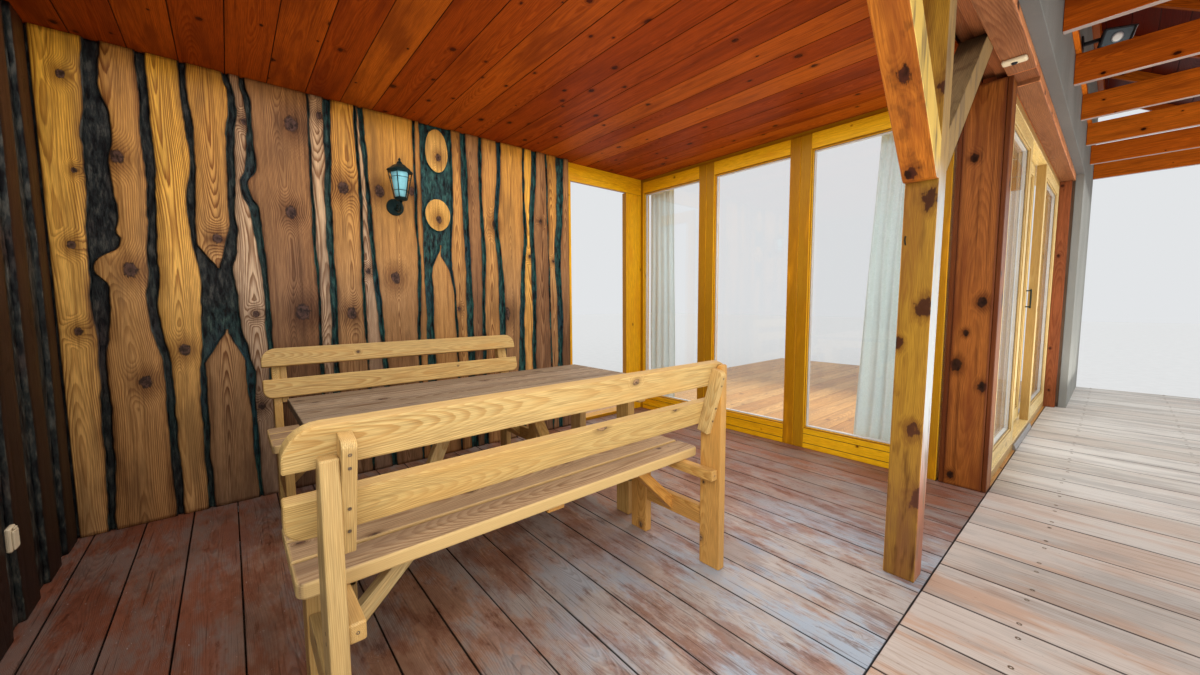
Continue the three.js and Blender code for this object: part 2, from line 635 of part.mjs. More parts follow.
function lantern() {
  const { x, plate, bodyY, bodyLow, bodyHigh, tip } = LANTERN;
  const backplate = new THREE.CylinderGeometry(56, 56, 14, 20);
  backplate.translate(x, PLANK_FACE - 7 - FIT, plate);
  const route = new THREE.CatmullRomCurve3([
    new THREE.Vector3(x, PLANK_FACE - 10, plate - 10),
    new THREE.Vector3(x, PLANK_FACE - 60, plate - 42),
    new THREE.Vector3(x, bodyY + 28, plate - 38),
    new THREE.Vector3(x, bodyY, plate - 8),
    new THREE.Vector3(x, bodyY, bodyLow + 4),
  ]);
  const section = new THREE.Shape().absarc(0, 0, 8, 0, Math.PI * 2);
  const arm = new THREE.ExtrudeGeometry(section, { steps: 12, curveSegments: 4, extrudePath: route });
  const turned = (points) => new THREE.LatheGeometry(points.map(([r, h]) => new THREE.Vector2(r, h)), 6)
    .rotateX(Math.PI / 2).translate(x, bodyY, 0);
  const cup = turned([[0, bodyLow], [34, bodyLow], [44, bodyLow + 12], [44, bodyLow + 18], [0, bodyLow + 18]]);
  const roof = turned([
    [0, bodyHigh - 10], [80, bodyHigh - 10], [82, bodyHigh], [40, bodyHigh + 34], [18, bodyHigh + 44],
    [16, bodyHigh + 56], [6, bodyHigh + 60], [6, tip - 6], [0, tip],
  ]);
  const corner = (turn) => new THREE.Vector3(Math.cos(turn), Math.sin(turn), 0);
  const ribs = [0, 1, 2, 3, 4, 5].map((i) => {
    const way = corner((i * Math.PI) / 3 + Math.PI / 6);
    const foot = way.clone().multiplyScalar(42).add(new THREE.Vector3(x, bodyY, bodyLow + 14));
    const head = way.clone().multiplyScalar(72).add(new THREE.Vector3(x, bodyY, bodyHigh - 6));
    const rib = new THREE.CylinderGeometry(4, 4, foot.distanceTo(head), 5);
    const turn = new THREE.Quaternion().setFromUnitVectors(
      new THREE.Vector3(0, 1, 0), head.clone().sub(foot).normalize(),
    );
    return rib.applyQuaternion(turn).translate(...foot.clone().add(head).multiplyScalar(0.5).toArray());
  });
  add('lantern_body', fuse([backplate, arm, cup, roof, ...ribs]), darkMetal);
  add('lantern_glass', turned([
    [0, bodyLow + 18 + FIT], [32, bodyLow + 18 + FIT], [58, bodyHigh - 10 - FIT], [0, bodyHigh - 10 - FIT],
  ]), paneGlass);
}

const FLOODLIGHT = { x: 5000, y: 120, z: 3020 };

function smallFittings() {
  add('wall_socket', box(LEFT_FACE, LEFT_FACE + 34, 2360, 2440, 300, 385), creamPlastic);
  add('motion_sensor', box(3080, 3200, 385, 445, BEAM.low - 34, BEAM.low), creamPlastic);
  const { x, y, z } = FLOODLIGHT;
  const arm = box(x - 12, x + 12, y + 60, SKIN.outer, z + 6, z + 30);
  const plate = box(x - 45, x + 45, SKIN.outer - 12, SKIN.outer, z - 32, z + 68);
  const head = alongX(outline([
    [y - 70, z - 62], [y + 62, z - 10], [y + 62, z + 38], [y - 10, z + 70], [y - 92, z - 20],
  ]), x - 95, x + 95);
  add('floodlight_body', fuse([plate, arm, head]), blackPlastic);
}

// Curtains on a rail inside the glazed wall

const RAIL = { x: 3492, radius: 9, z: 2300 };
const CURTAIN = { from: 3462, to: 3522, foot: 105, head: RAIL.z - RAIL.radius - FIT };
const CURTAINS = [
  { name: 'curtain_left', headFrom: 2950, headTo: 3262, footFrom: 2915, footTo: 3262 },
  { name: 'curtain_right', headFrom: 782, headTo: 1112, footFrom: 782, footTo: 1215 },
];

function curtains() {
  const rod = new THREE.CylinderGeometry(RAIL.radius, RAIL.radius, 2600, 10).translate(RAIL.x, 2010, RAIL.z);
  const brackets = [740, 2030, 3290].map((y) => (
    box(GLAZED_REAR, RAIL.x, y, y + 14, RAIL.z - 6, RAIL.z + 6)
  ));
  add('curtain_rail', fuse([rod, ...brackets]), silverMetal);
  for (const { name, headFrom, headTo, footFrom, footTo } of CURTAINS) {
    add(name, alongX(outline([
      [footFrom, CURTAIN.foot], [footTo, CURTAIN.foot], [headTo, CURTAIN.head], [headFrom, CURTAIN.head],
    ]), CURTAIN.from, CURTAIN.to), curtainCloth);
  }
}

// Benches: each drawn at the origin, back to -y, then turned and placed

const PLANK_END = 38;
const BATTEN = { wide: 30, deep: 55, lean: 14.7, low: 600, high: 868, line: 1030 };
const BACK_BOARDS = [
  { low: 790, high: 888, roundTop: 70, roundFoot: 0 },
  { low: 622, high: 722, roundTop: 0, roundFoot: 45 },
];
const SEAT_BOARDS = [0, 130, 260];

function roundedBoard(length, high, roundTop, roundFoot) {
  const shape = new THREE.Shape();
  shape.moveTo(roundFoot, 0);
  shape.lineTo(length - roundFoot, 0);
  if (roundFoot) shape.absarc(length - roundFoot, roundFoot, roundFoot, -Math.PI / 2, 0);
  shape.lineTo(length, high - roundTop);
  if (roundTop) shape.absarc(length - roundTop, high - roundTop, roundTop, 0, Math.PI / 2);
  shape.lineTo(roundTop, high);
  if (roundTop) shape.absarc(roundTop, high - roundTop, roundTop, Math.PI / 2, Math.PI);
  shape.lineTo(0, roundFoot);
  if (roundFoot) shape.absarc(roundFoot, roundFoot, roundFoot, Math.PI, Math.PI * 1.5);
  return shape;
}

// The line of the backrest: y of the battens' seat side at a height, and the height for a y.
const LEAN = Math.tan((BATTEN.lean * Math.PI) / 180);

function backLine(z) {
  return 25 - (z - 876) * LEAN;
}

function heightAt(y) {
  return 876 - (y - 25) / LEAN;
}

function backrest(ends) {
  const lean = (BATTEN.lean * Math.PI) / 180;
  const thick = 34;
  const boards = BACK_BOARDS.map(({ low, high, roundTop, roundFoot }) => {
    const tall = (high - low) / Math.cos(lean);
    const board = alongY(roundedBoard(BENCH.length, tall, roundTop, roundFoot), 0, thick);
    return board.rotateX(lean).translate(0, backLine(low), low);
  });
  const battens = ends.map(({ inner, toward }) => {
    const x0 = Math.min(inner, inner + toward * BATTEN.wide);
    const tall = (BATTEN.high - BATTEN.low) / Math.cos(lean);
    const batten = box(x0, x0 + BATTEN.wide, -BATTEN.deep, LAP, 0, tall);
    return batten.rotateX(lean).translate(0, backLine(BATTEN.low), BATTEN.low);
  });
  return fuse([...boards, ...battens]);
}

function seat(ends) {
  const top = BENCH.seatTop;
  const from = BENCH.seatFrom;
  const boards = SEAT_BOARDS.map((y) => box(0, BENCH.length, from + y, from + y + 120, top - 40, top));
  const bearers = ends.map(({ inner, toward }) => {
    const x0 = Math.min(inner, inner + toward * PLANK_END);
    return box(x0, x0 + PLANK_END, -12, from + 366, top - 96, top - 40 + LAP);
  });
  const middle = BENCH.length / 2;
  const batten = box(middle - 35, middle + 35, from + 20, from + 360, top - 62, top - 40 + LAP);
  return fuse([...boards, ...bearers, batten]);
}

// One end: rear post, shorter front leg, low rail between them and a brace to the seat.
function benchEnd(x, postTop, toward) {
  const low = 165;
  const legFrom = 423;
  const seatFoot = BENCH.seatTop - 40;
  const rail = box(x + 5, x + 33, BENCH.postDeep - LAP, legFrom + LAP, low, low + 85);
  const inner = toward > 0 ? x + PLANK_END : x;
  const railFace = toward > 0 ? x + 33 : x + 5;
  const brace = outline([
    [railFace - toward * LAP, low + 10], [railFace - toward * LAP, low + 78],
    [inner + toward * 205, seatFoot - FIT], [inner + toward * 265, seatFoot - FIT],
  ]);
  const post = outline([
    [0, 0], [BENCH.postDeep, 0], [BENCH.postDeep, heightAt(BENCH.postDeep) - FIT],
    [backLine(postTop) - 2 * FIT, postTop], [0, postTop],
  ]);
  return fuse([
    alongX(post, x, x + PLANK_END),
    box(x, x + PLANK_END, legFrom, legFrom + BENCH.postDeep, 0, seatFoot),
    rail,
    alongY(brace, 262, 300),
  ]);
}

function bench(name, { x, y, turned }, postTops) {
  const group = new THREE.Group();
  group.position.set(turned ? x + BENCH.length : x, y, 0);
  group.rotation.z = turned ? Math.PI : 0;
  part.add(group);
  const lefts = [60, 1458];
  const ends = [
    { inner: lefts[0] + PLANK_END + FIT, toward: 1 },
    { inner: lefts[1] - FIT, toward: -1 },
  ];
  add(`${name}_back`, backrest(ends), benchPine, group);
  add(`${name}_seat`, seat(ends), benchPine, group);
  add(`${name}_end_left`, benchEnd(lefts[0], postTops[0], 1), benchPine, group);
  add(`${name}_end_right`, benchEnd(lefts[1], postTops[1], -1), benchPine, group);
}

// Table

function table() {
  const { left, right, outer, inner, top, thick } = TABLE;
  const boards = { pitch: 146, joint: outer + 146, groove: 4, depth: 12 };
  const under = top - thick;
  add('table_top', alongX(boardSection(outer, inner, { face: top, back: under }, boards), left, right), greyPine);
  const middle = (outer + inner) / 2;
  const legDeep = 95;
  const pieces = [left + 70, right - 115].flatMap((x) => [
    box(x, x + 45, outer + 110, outer + 110 + legDeep, 0, under),
    box(x, x + 45, inner - 110 - legDeep, inner - 110, 0, under),
    box(x, x + 45, outer + 30, inner - 30, under - 80, under),
    box(x, x + 45, outer + 110, inner - 110, 180, 270),
  ]);
  const stretcher = box(left + 114, right - 114, middle - 22, middle + 22, 185, 265);
  const braces = [
    [left + 360, left + 420, left + 620, left + 560],
    [right - 420, right - 360, right - 560, right - 620],
  ].map(([a, b, c, d]) => alongY(outline([[a, 250], [b, 250], [c, under], [d, under]]), middle - 18, middle + 18));
  add('table_frame', fuse([...pieces, stretcher, ...braces]), benchPine);
}

bearerFrame();
joistFrame();
decks();
roomFloor();
plankWall();
backWallCore();
leftWall();
doorwayFrame();
entryDoor();
glazedWall();
sideSet();
postAndBraces();
beamAndCorner();
ceilingAndFloor();
renderedWall();
wallStuds();
roofBoards(roofFrame());
outerPosts();
lantern();
smallFittings();
curtains();
bench('near_bench', NEAR_BENCH, [820, 880]);
bench('far_bench', FAR_BENCH, [860, 860]);
table();

export default part;
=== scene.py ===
"""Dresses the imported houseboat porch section: boards, live-edge planks, frames, benches, cloth and
fittings with procedural finishes, a pale floor, soft light and the camera on the walkway."""
import math
import random

import bpy
from mathutils import Matrix, Vector, noise


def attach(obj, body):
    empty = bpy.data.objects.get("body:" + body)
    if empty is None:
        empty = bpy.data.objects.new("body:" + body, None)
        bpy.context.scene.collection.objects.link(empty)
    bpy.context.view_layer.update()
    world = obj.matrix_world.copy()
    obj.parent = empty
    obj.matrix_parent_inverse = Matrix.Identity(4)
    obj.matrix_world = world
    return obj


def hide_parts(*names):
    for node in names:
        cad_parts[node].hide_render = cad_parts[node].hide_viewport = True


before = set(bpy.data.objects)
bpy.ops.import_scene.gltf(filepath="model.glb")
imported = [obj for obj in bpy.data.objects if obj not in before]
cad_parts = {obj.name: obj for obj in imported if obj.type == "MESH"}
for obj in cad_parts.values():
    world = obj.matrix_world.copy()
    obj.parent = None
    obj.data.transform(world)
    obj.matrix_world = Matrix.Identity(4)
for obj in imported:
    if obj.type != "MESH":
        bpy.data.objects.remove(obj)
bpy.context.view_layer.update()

# Survey places are millimetres from one point on the walkway; the part's frame is in metres.
ORIGIN = Vector((3805, 1625, -362))
MM = 0.001
AXES = {"x": 0, "y": 1, "z": 2}
UNIT = (Vector((1, 0, 0)), Vector((0, 1, 0)), Vector((0, 0, 1)))


def place(point):
    return (Vector(point) - ORIGIN) * MM


def tint(red, green, blue):
    """An eight-bit screen colour as linear light."""
    def linear(value):
        share = value / 255
        return share / 12.92 if share <= 0.04045 else ((share + 0.055) / 1.055) ** 2.4
    return (linear(red), linear(green), linear(blue), 1.0)


# Meshes

class Piece:
    """One object in the making: its faces and, at each corner, where it lies in its board."""

    def __init__(self, name, materials):
        self.name = name
        self.materials = materials
        self.verts = []
        self.faces = []
        self.slots = []
        self.smooth = []
        self.data = {"grain": [], "spot": [], "half": [], "tone": [], "bark": [], "shade": []}
        self.chance = random.Random(name)
        self.base = Matrix()

    def vertex(self, point, grain=(0, 0, 0), spot=(0, 0, 0), half=(1, 1, 1), tone=0.5, bark=0.0,
               shade=(0, 0, 0)):
        self.verts.append(place(self.base @ Vector(point)))
        for key, value in zip(self.data, (grain, spot, half, tone, bark, shade)):
            self.data[key].append(value)
        return len(self.verts) - 1

    def face(self, corners, slot=0, smooth=False):
        self.faces.append(corners)
        self.slots.append(slot)
        self.smooth.append(smooth)

    def make(self, slot, *nodes, body="section"):
        mesh = bpy.data.meshes.new(self.name)
        mesh.from_pydata(self.verts, [], self.faces)
        for key, values in self.data.items():
            vector = key in ("grain", "spot", "half", "shade")
            layer = mesh.attributes.new(key, "FLOAT_VECTOR" if vector else "FLOAT", "POINT")
            flat = [n for value in values for n in value] if vector else values
            layer.data.foreach_set("vector" if vector else "value", flat)
        for material in self.materials:
            mesh.materials.append(material)
        mesh.polygons.foreach_set("material_index", self.slots)
        mesh.polygons.foreach_set("use_smooth", self.smooth)
        mesh.update()
        thing = bpy.data.objects.new(self.name, mesh)
        bpy.context.scene.collection.objects.link(thing)
        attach(thing, body)
        if nodes:
            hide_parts(*nodes)
        return thing


def inset(outline, by):
    """The outline moved inwards, corner by corner."""
    moved = []
    count = len(outline)
    for i, (p, q) in enumerate(outline):
        before = Vector((p - outline[i - 1][0], q - outline[i - 1][1])).normalized()
        after = Vector((outline[(i + 1) % count][0] - p, outline[(i + 1) % count][1] - q)).normalized()
        middle = before + after
        if middle.length < 1e-6:
            middle = before.copy()
        middle.normalize()
        stretch = 1 / max(0.5, middle.dot(before))
        moved.append((p - middle.y * by * stretch, q + middle.x * by * stretch))
    return moved


def slab(piece, outline, depth, origin, p_axis, q_axis, along=0, round_by=3, tone=None, slot=0):
    """An extruded outline with eased edges. It grows from its origin along p x q."""
    w_axis = p_axis.cross(q_axis)
    chance = piece.chance
    tone = chance.random() if tone is None else tone
    low = [min(c[k] for c in outline) for k in (0, 1)]
    high = [max(c[k] for c in outline) for k in (0, 1)]
    centre = [(low[k] + high[k]) / 2 for k in (0, 1)]
    half = [(high[k] - low[k]) / 2 * MM for k in (0, 1)]
    half = (half[along], half[1 - along], depth / 2 * MM)
    seed = (chance.uniform(0, 60), chance.uniform(-0.5, 0.5) * half[1], chance.uniform(0.03, 0.09))
    ease = min(round_by, depth * 0.45)
    rings = [(0, ease), (ease * 0.3, ease * 0.3), (ease, 0),
             (depth - ease, 0), (depth - ease * 0.3, ease * 0.3), (depth, ease)]
    loops = []
    for w, by in rings:
        loop = []
        for p, q in (inset(outline, by) if by else outline):
            spot = [(p - centre[0]) * MM, (q - centre[1]) * MM]
            spot = (spot[along], spot[1 - along], (w - depth / 2) * MM)
            grain = tuple(s + g for s, g in zip(spot, seed))
            point = origin + p_axis * p + q_axis * q + w_axis * w
            loop.append(piece.vertex(point, grain, spot, half, tone))
        loops.append(loop)
    close_loops(piece, loops, slot, False)


def eased(x0, x1, y0, y1, by):
    """A rectangle with its corners cut."""
    return [(x0 + by, y0), (x1 - by, y0), (x1, y0 + by), (x1, y1 - by),
            (x1 - by, y1), (x0 + by, y1), (x0, y1 - by), (x0, y0 + by)]


def board(piece, x, y, z, along, round_by=3, **how):
    """A square-edged board between three ranges, its grain along the named axis."""
    spans = (x, y, z)
    a = AXES[along]
    b, c = sorted((k for k in range(3) if k != a), key=lambda k: spans[k][0] - spans[k][1])
    side = UNIT[a].cross(UNIT[b])[c]
    origin = Vector((0, 0, 0))
    origin[c] = spans[c][1] if side < 0 else spans[c][0]
    round_by = min(round_by, abs(spans[b][1] - spans[b][0]) * 0.3)
    outline = eased(*spans[a], *spans[b], round_by)
    slab(piece, outline, spans[c][1] - spans[c][0], origin, UNIT[a], UNIT[b],
         round_by=round_by, **how)


def ring(piece, centre, u, v, radius, sides):
    return [piece.vertex(centre + (u * math.cos(t) + v * math.sin(t)) * radius)
            for t in (math.tau * k / sides for k in range(sides))]


def tube(piece, path, radius, sides=10, slot=0):
    """A round bar along a path, closed at both ends."""
    loops = []
    up = Vector((0.3, 0.2, 0.9))
    for i, point in enumerate(path):
        ahead = (Vector(path[min(i + 1, len(path) - 1)]) - Vector(path[max(i - 1, 0)])).normalized()
        side = ahead.cross(up).normalized()
        loops.append(ring(piece, Vector(point), side, ahead.cross(side), radius, sides))
    close_loops(piece, loops, slot)


def lathe(piece, profile, centre, axis="z", sides=24, slot=0):
    """A turned form: (radius, height) pairs round an axis, outwards side first, closed at both ends."""
    a = AXES[axis]
    close_loops(piece, [ring(piece, Vector(centre) + UNIT[a] * high, UNIT[(a + 1) % 3], UNIT[(a + 2) % 3], r,
                             sides)
                        for r, high in profile], slot)


def close_loops(piece, loops, slot=0, smooth=True):
    """Joins loops of the same length into a closed skin with two flat caps."""
    count = len(loops[0])
    for a, b in zip(loops, loops[1:]):
        for i in range(count):
            j = (i + 1) % count
            piece.face((a[i], a[j], b[j], b[i]), slot, smooth)
    piece.face(tuple(reversed(loops[0])), slot)
    piece.face(tuple(loops[-1]), slot)


def skin(piece, grid, slot=0, turned=False):
    """The faces of a grid of vertices."""
    for low, high in zip(grid, grid[1:]):
        for a, b, c, d in zip(low, low[1:], high[1:], high):
            piece.face((b, a, d, c) if turned else (a, b, c, d), slot, True)


def rim(grid):
    """A grid's edge vertices, once round."""
    return grid[0] + [row[-1] for row in grid[1:]] + grid[-1][-2::-1] + [row[0] for row in grid[-2:0:-1]]


# Finishes

class Finish:
    """A material under construction, with short calls for the nodes that it needs."""

    def __init__(self, name, **values):
        self.material = bpy.data.materials.new(name)
        self.material.use_nodes = True
        self.tree = self.material.node_tree
        self.shader = self.tree.nodes["Principled BSDF"]
        for key, value in values.items():
            self.shader.inputs[key.replace("_", " ")].default_value = value

    def add(self, kind, sources=(), **settings):
        node = self.tree.nodes.new("ShaderNode" + kind)
        for key, value in settings.items():
            setattr(node, key, value)
        for key, value in dict(sources).items():
            self.feed(node.inputs[key], value)
        return node

    def feed(self, socket, value):
        if isinstance(value, bpy.types.NodeSocket):
            self.tree.links.new(value, socket)
        else:
            socket.default_value = value

    def math(self, operation, *values):
        return self.add("Math", enumerate(values), operation=operation).outputs[0]

    def plus(self, a, b):
        return self.math("ADD", a, b)

    def minus(self, a, b):
        return self.math("SUBTRACT", a, b)

    def times(self, a, b):
        return self.math("MULTIPLY", a, b)

    def fma(self, a, by, c):
        """a times by, plus c."""
        return self.math("MULTIPLY_ADD", a, by, c)

    def stray(self, value, noise, by):
        """The value moved both ways by a noise."""
        return self.fma(self.minus(noise, 0.5), by, value)

    def mix(self, share, a, b, blend="MIX"):
        node = self.add("Mix", {0: share, 6: a, 7: b}, data_type="RGBA", blend_type=blend)
        return node.outputs[2]

    def dim(self, color, share, by):
        """The colour, darkened by a factor for each channel over a share."""
        return self.mix(share, color, self.mix(1.0, color, (*by, 1), "MULTIPLY"))

    def over(self, color, value, low, high, most, tone):
        """The colour with a tone laid over it, up to a share, as the value goes from low to high."""
        return self.mix(self.band(value, low, high, 0.0, most), color, tint(*tone))

    def band(self, value, low, high, out_low=0.0, out_high=1.0):
        """A smooth rise from out_low to out_high as the value goes from low to high."""
        node = self.add("MapRange", {0: value, 1: low, 2: high, 3: out_low, 4: out_high},
                        interpolation_type="SMOOTHSTEP")
        return node.outputs[0]

    def ramp(self, value, stops):
        node = self.add("ValToRGB", {0: value})
        elements = node.color_ramp.elements
        while len(elements) < len(stops):
            elements.new(0.5)
        for element, (position, color) in zip(elements, stops):
            element.position = position
            element.color = color
        return node.outputs[0]

    def scaled(self, vector, by):
        return self.add("VectorMath", {0: vector, 1: by}, operation="MULTIPLY").outputs[0]

    def noise(self, vector, by, detail=2.0, rough=0.55, color=False):
        sources = {"Vector": self.scaled(vector, by), "Scale": 1.0, "Detail": detail, "Roughness": rough}
        node = self.add("TexNoise", sources)
        return node.outputs[1 if color else 0]

    def attribute(self, name, vector=True):
        node = self.add("Attribute", attribute_name=name)
        return node.outputs["Vector" if vector else "Fac"]

    def split(self, vector):
        return self.add("SeparateXYZ", {0: vector}).outputs

    def join(self, x, y, z):
        return self.add("CombineXYZ", {0: x, 1: y, 2: z}).outputs[0]

    def place(self):
        return self.add("TexCoord").outputs["Object"]

    def done(self, color, rough=None, height=None, bump=0.3, reach=0.001):
        self.feed(self.shader.inputs["Base Color"], color)
        if rough is not None:
            self.feed(self.shader.inputs["Roughness"], rough)
        if height is not None:
            node = self.add("Bump", {"Strength": bump, "Distance": reach, "Height": height})
            self.feed(self.shader.inputs["Normal"], node.outputs[0])
        return self.material


def wood(name, tones, dark=(0.46, 0.30, 0.19), ring=5.5, contrast=0.8, knots=0.5, knot=(52, 26, 12),
         cell=(0.42, 0.11), knot_size=0.011, stain=(70, 45, 30), stains=0.25, seam_and_highlight=(30, 20, 14),
         seam_and_highlight_width=0.003, seam_and_highlight_share=0.7, rough=0.5, coat=0.0, bump=0.25, shine=0.3, paint=None, bark=None,
         listed=(), bow_reach=3.0, bow_by=0.016, halo_reach=2.4, halo_share=0.6,
         streaks=0.5, all_round=False):
    """Sawn pine: growth rings round a wandering pith, knots that the rings bow round, stains and
    edge bands: dark seams on most boards, and a painted highlight on the seat boards. tones are the
    colours that a board's tone runs through; without them a board's own shade is used. listed are
    knots at known places in the wall: x, z and radius."""
    f = Finish(name, Coat_Weight=coat, Coat_Roughness=0.15, Specular_IOR_Level=shine)
    grain = f.attribute("grain")
    tone = f.attribute("tone", vector=False)
    u, v, w = f.split(grain)[:3]
    wander = f.noise(grain, (0.6, 1.1, 1.1), 1.5, color=True)
    wx, wy, wz = f.split(wander)[:3]
    v2 = f.stray(v, wx, 0.14)
    w2 = f.stray(w, wy, 0.22)
    from_pith = f.math("SQRT", f.plus(f.times(v2, v2), f.times(w2, w2)))
    # Knots sit in the cells of a stretched pattern, one in each, and some cells have none.
    long, wide = cell
    across = f.plus(v, w) if all_round else v
    grid = f.join(f.math("DIVIDE", u, long), f.math("DIVIDE", across, wide), 0.0)
    cells = f.add("TexVoronoi", {"Vector": grid, "Scale": 1.0, "Randomness": 0.9}, voronoi_dimensions="2D")
    offset = f.add("VectorMath", {0: grid, 1: cells.outputs["Position"]}, operation="SUBTRACT").outputs[0]
    away = f.add("VectorMath", {0: f.scaled(offset, (long * 0.75, wide, 0.0))},
                 operation="LENGTH").outputs["Value"]
    pick = f.split(cells.outputs["Color"])
    there = f.math("LESS_THAN", pick[1], knots)
    size = f.fma(pick[0], knot_size, knot_size * 0.3)
    spot = f.split(f.attribute("spot"))
    half = f.split(f.attribute("half"))
    side = f.minus(half[1], f.math("ABSOLUTE", spot[1]))
    end = f.minus(half[0], f.math("ABSOLUTE", spot[0]))
    none = f.minus(1.0, there)
    if not all_round:
        none = f.math("MAXIMUM", none, f.math("LESS_THAN", side, 0.002))
    ratio = f.fma(none, 60.0, f.math("DIVIDE", away, size))
    if listed:
        on_wall = f.scaled(f.place(), (1.0, 0.0, 0.72))
        for x, z, radius in listed:
            at = place((x, 0, z))
            knot_at = (at.x, 0.0, at.z * 0.72)
            gap = f.add("VectorMath", {0: on_wall, 1: knot_at}, operation="DISTANCE").outputs["Value"]
            ratio = f.math("MINIMUM", ratio, f.math("DIVIDE", gap, radius * MM))
    bow = f.band(ratio, bow_reach, 0.0)
    from_pith = f.fma(bow, bow_by, from_pith)
    fine = f.noise(grain, (5.0, 110.0, 110.0), 2.0)
    rings = f.fma(fine, 0.5, f.math("DIVIDE", from_pith, ring * MM))
    phase = f.math("FRACT", rings)
    strength = f.band(f.noise(grain, (0.8, 14.0, 14.0), 2.0), 0.3, 0.7, 0.45, 1.0)
    late = f.minus(f.band(phase, 0.2, 0.85), f.band(phase, 0.88, 1.0))
    late = f.times(late, strength)
    stops = [(i / max(1, len(tones) - 1), tint(*c)) for i, c in enumerate(tones)]
    base = f.ramp(tone, stops) if tones else f.attribute("shade")
    shade = f.mix(1.0, base, (*dark, 1.0), "MULTIPLY")
    color = f.mix(f.times(late, contrast), base, shade)
    fibre = f.noise(grain, (14.0, 420.0, 420.0), 1.0)
    color = f.mix(1.0, color, f.ramp(fibre, [(0.3, (0.76, 0.74, 0.7, 1)), (0.7, (1.16, 1.16, 1.14, 1))]),
                  "MULTIPLY")
    streak = f.noise(grain, (1.3, 46.0, 46.0), 4.0, 0.62)
    color = f.mix(streaks, color, f.mix(1.0, color, f.ramp(streak, [
        (0.3, (0.42, 0.34, 0.28, 1)), (0.48, (1, 1, 1, 1)), (0.72, (1.25, 1.25, 1.2, 1))]), "MULTIPLY"))
    patch = f.noise(grain, (1.6, 9.0, 9.0), 3.0, 0.6)
    color = f.mix(f.band(patch, 0.48, 0.7, 0.0, stains), color, f.mix(0.2, tint(*stain), base))
    lumps = f.noise(grain, (26.0, 44.0, 44.0) if all_round else (45.0, 60.0, 60.0), 3.0)
    ragged = f.stray(ratio, fine, 0.5)
    ragged = f.fma(f.minus(lumps, 0.5), 2.4 if all_round else 0.9, ragged)
    knotted = f.band(ragged, 1.15, 0.8)
    heart = f.ramp(f.times(ragged, 0.8), [
        (0.0, tint(*(c * 0.7 for c in knot))), (0.35, tint(*(min(255, c * 1.2) for c in knot))),
        (0.6, tint(*(min(255, c * 1.45) for c in knot))), (0.8, tint(*(c * 0.35 for c in knot)))])
    heart = f.mix(f.band(lumps, 0.54, 0.42, 0.0, 0.75), heart, tint(*(c * 0.3 for c in knot)))
    smoke = f.stray(ragged, patch, 2.4)
    halo = f.band(smoke, halo_reach, 0.8, 0.0, halo_share)
    color = f.dim(color, halo, (0.38, 0.30, 0.25))
    color = f.mix(f.times(knotted, 0.94), color, heart)
    height = f.plus(f.times(late, 0.5), f.times(fibre, 0.7))
    roughness = f.fma(late, 0.08, rough)
    if paint:
        color, roughness, height = paint(f, color, roughness, height, side, late)
    edge = f.math("MINIMUM", side, end)
    edge = f.stray(edge, patch, 0.006)
    # The band along the board edges: a dark joint on most boards; on the seat boards its light colour is a
    # painted highlight where the edges catch the light.
    if seam_and_highlight_share:
        color = f.mix(f.band(edge, seam_and_highlight_width, 0.0005, 0.0, seam_and_highlight_share), color, tint(*seam_and_highlight))
    if bark:
        color, roughness, height = bark(f, color, roughness, height, side)
    return f.done(color, roughness, height, bump, 0.0012)


def bark_color(f, vector):
    """Painted bark: black-brown, going over to deep teal along the wall, with pale rubbed crests."""
    blot = f.noise(vector, (46.0, 46.0, 13.0), 4.0, 0.68)
    tone = f.noise(vector, (3.0, 3.0, 1.1), 3.0, 0.6)
    x, _, z = f.split(vector)[:3]
    along = f.fma(tone, 2.6, f.fma(z, -0.25, x))
    teal = f.band(along, -3.3, -2.2, 0.15, 1.0)
    base = f.mix(teal, tint(32, 28, 26), tint(26, 64, 60))
    color = f.mix(f.band(blot, 0.5, 0.64), base, f.mix(teal, tint(70, 58, 50), tint(50, 96, 84)))
    color = f.mix(f.band(tone, 0.52, 0.64, 0.0, 0.6), color, f.mix(teal, tint(84, 52, 34), tint(30, 60, 72)))
    color = f.mix(f.band(blot, 0.5, 0.38), color, tint(7, 9, 11))
    return f.mix(f.band(blot, 0.66, 0.78, 0.0, 0.6), color, tint(120, 132, 132)), blot


def bark_edges(f, color, roughness, height, side):
    """The sloping waney edges carry bark; a ragged line divides it from the face, browned beside it."""
    where = f.attribute("bark", vector=False)
    spot = f.place()
    shade, blot = bark_color(f, spot)
    ragged = f.stray(where, blot, 0.7)
    share = f.band(ragged, 0.2, 0.4)
    smoke = f.noise(spot, (9.0, 9.0, 3.2), 3.0, 0.6)
    browned = f.band(f.fma(smoke, 0.075, side), 0.062, 0.026, 0.0, 0.62)
    color = f.dim(color, browned, (0.30, 0.20, 0.14))
    color = f.over(color, side, 0.006, 0.001, 0.75, (36, 22, 14))
    return f.mix(share, color, shade), roughness, f.fma(share, blot, height)


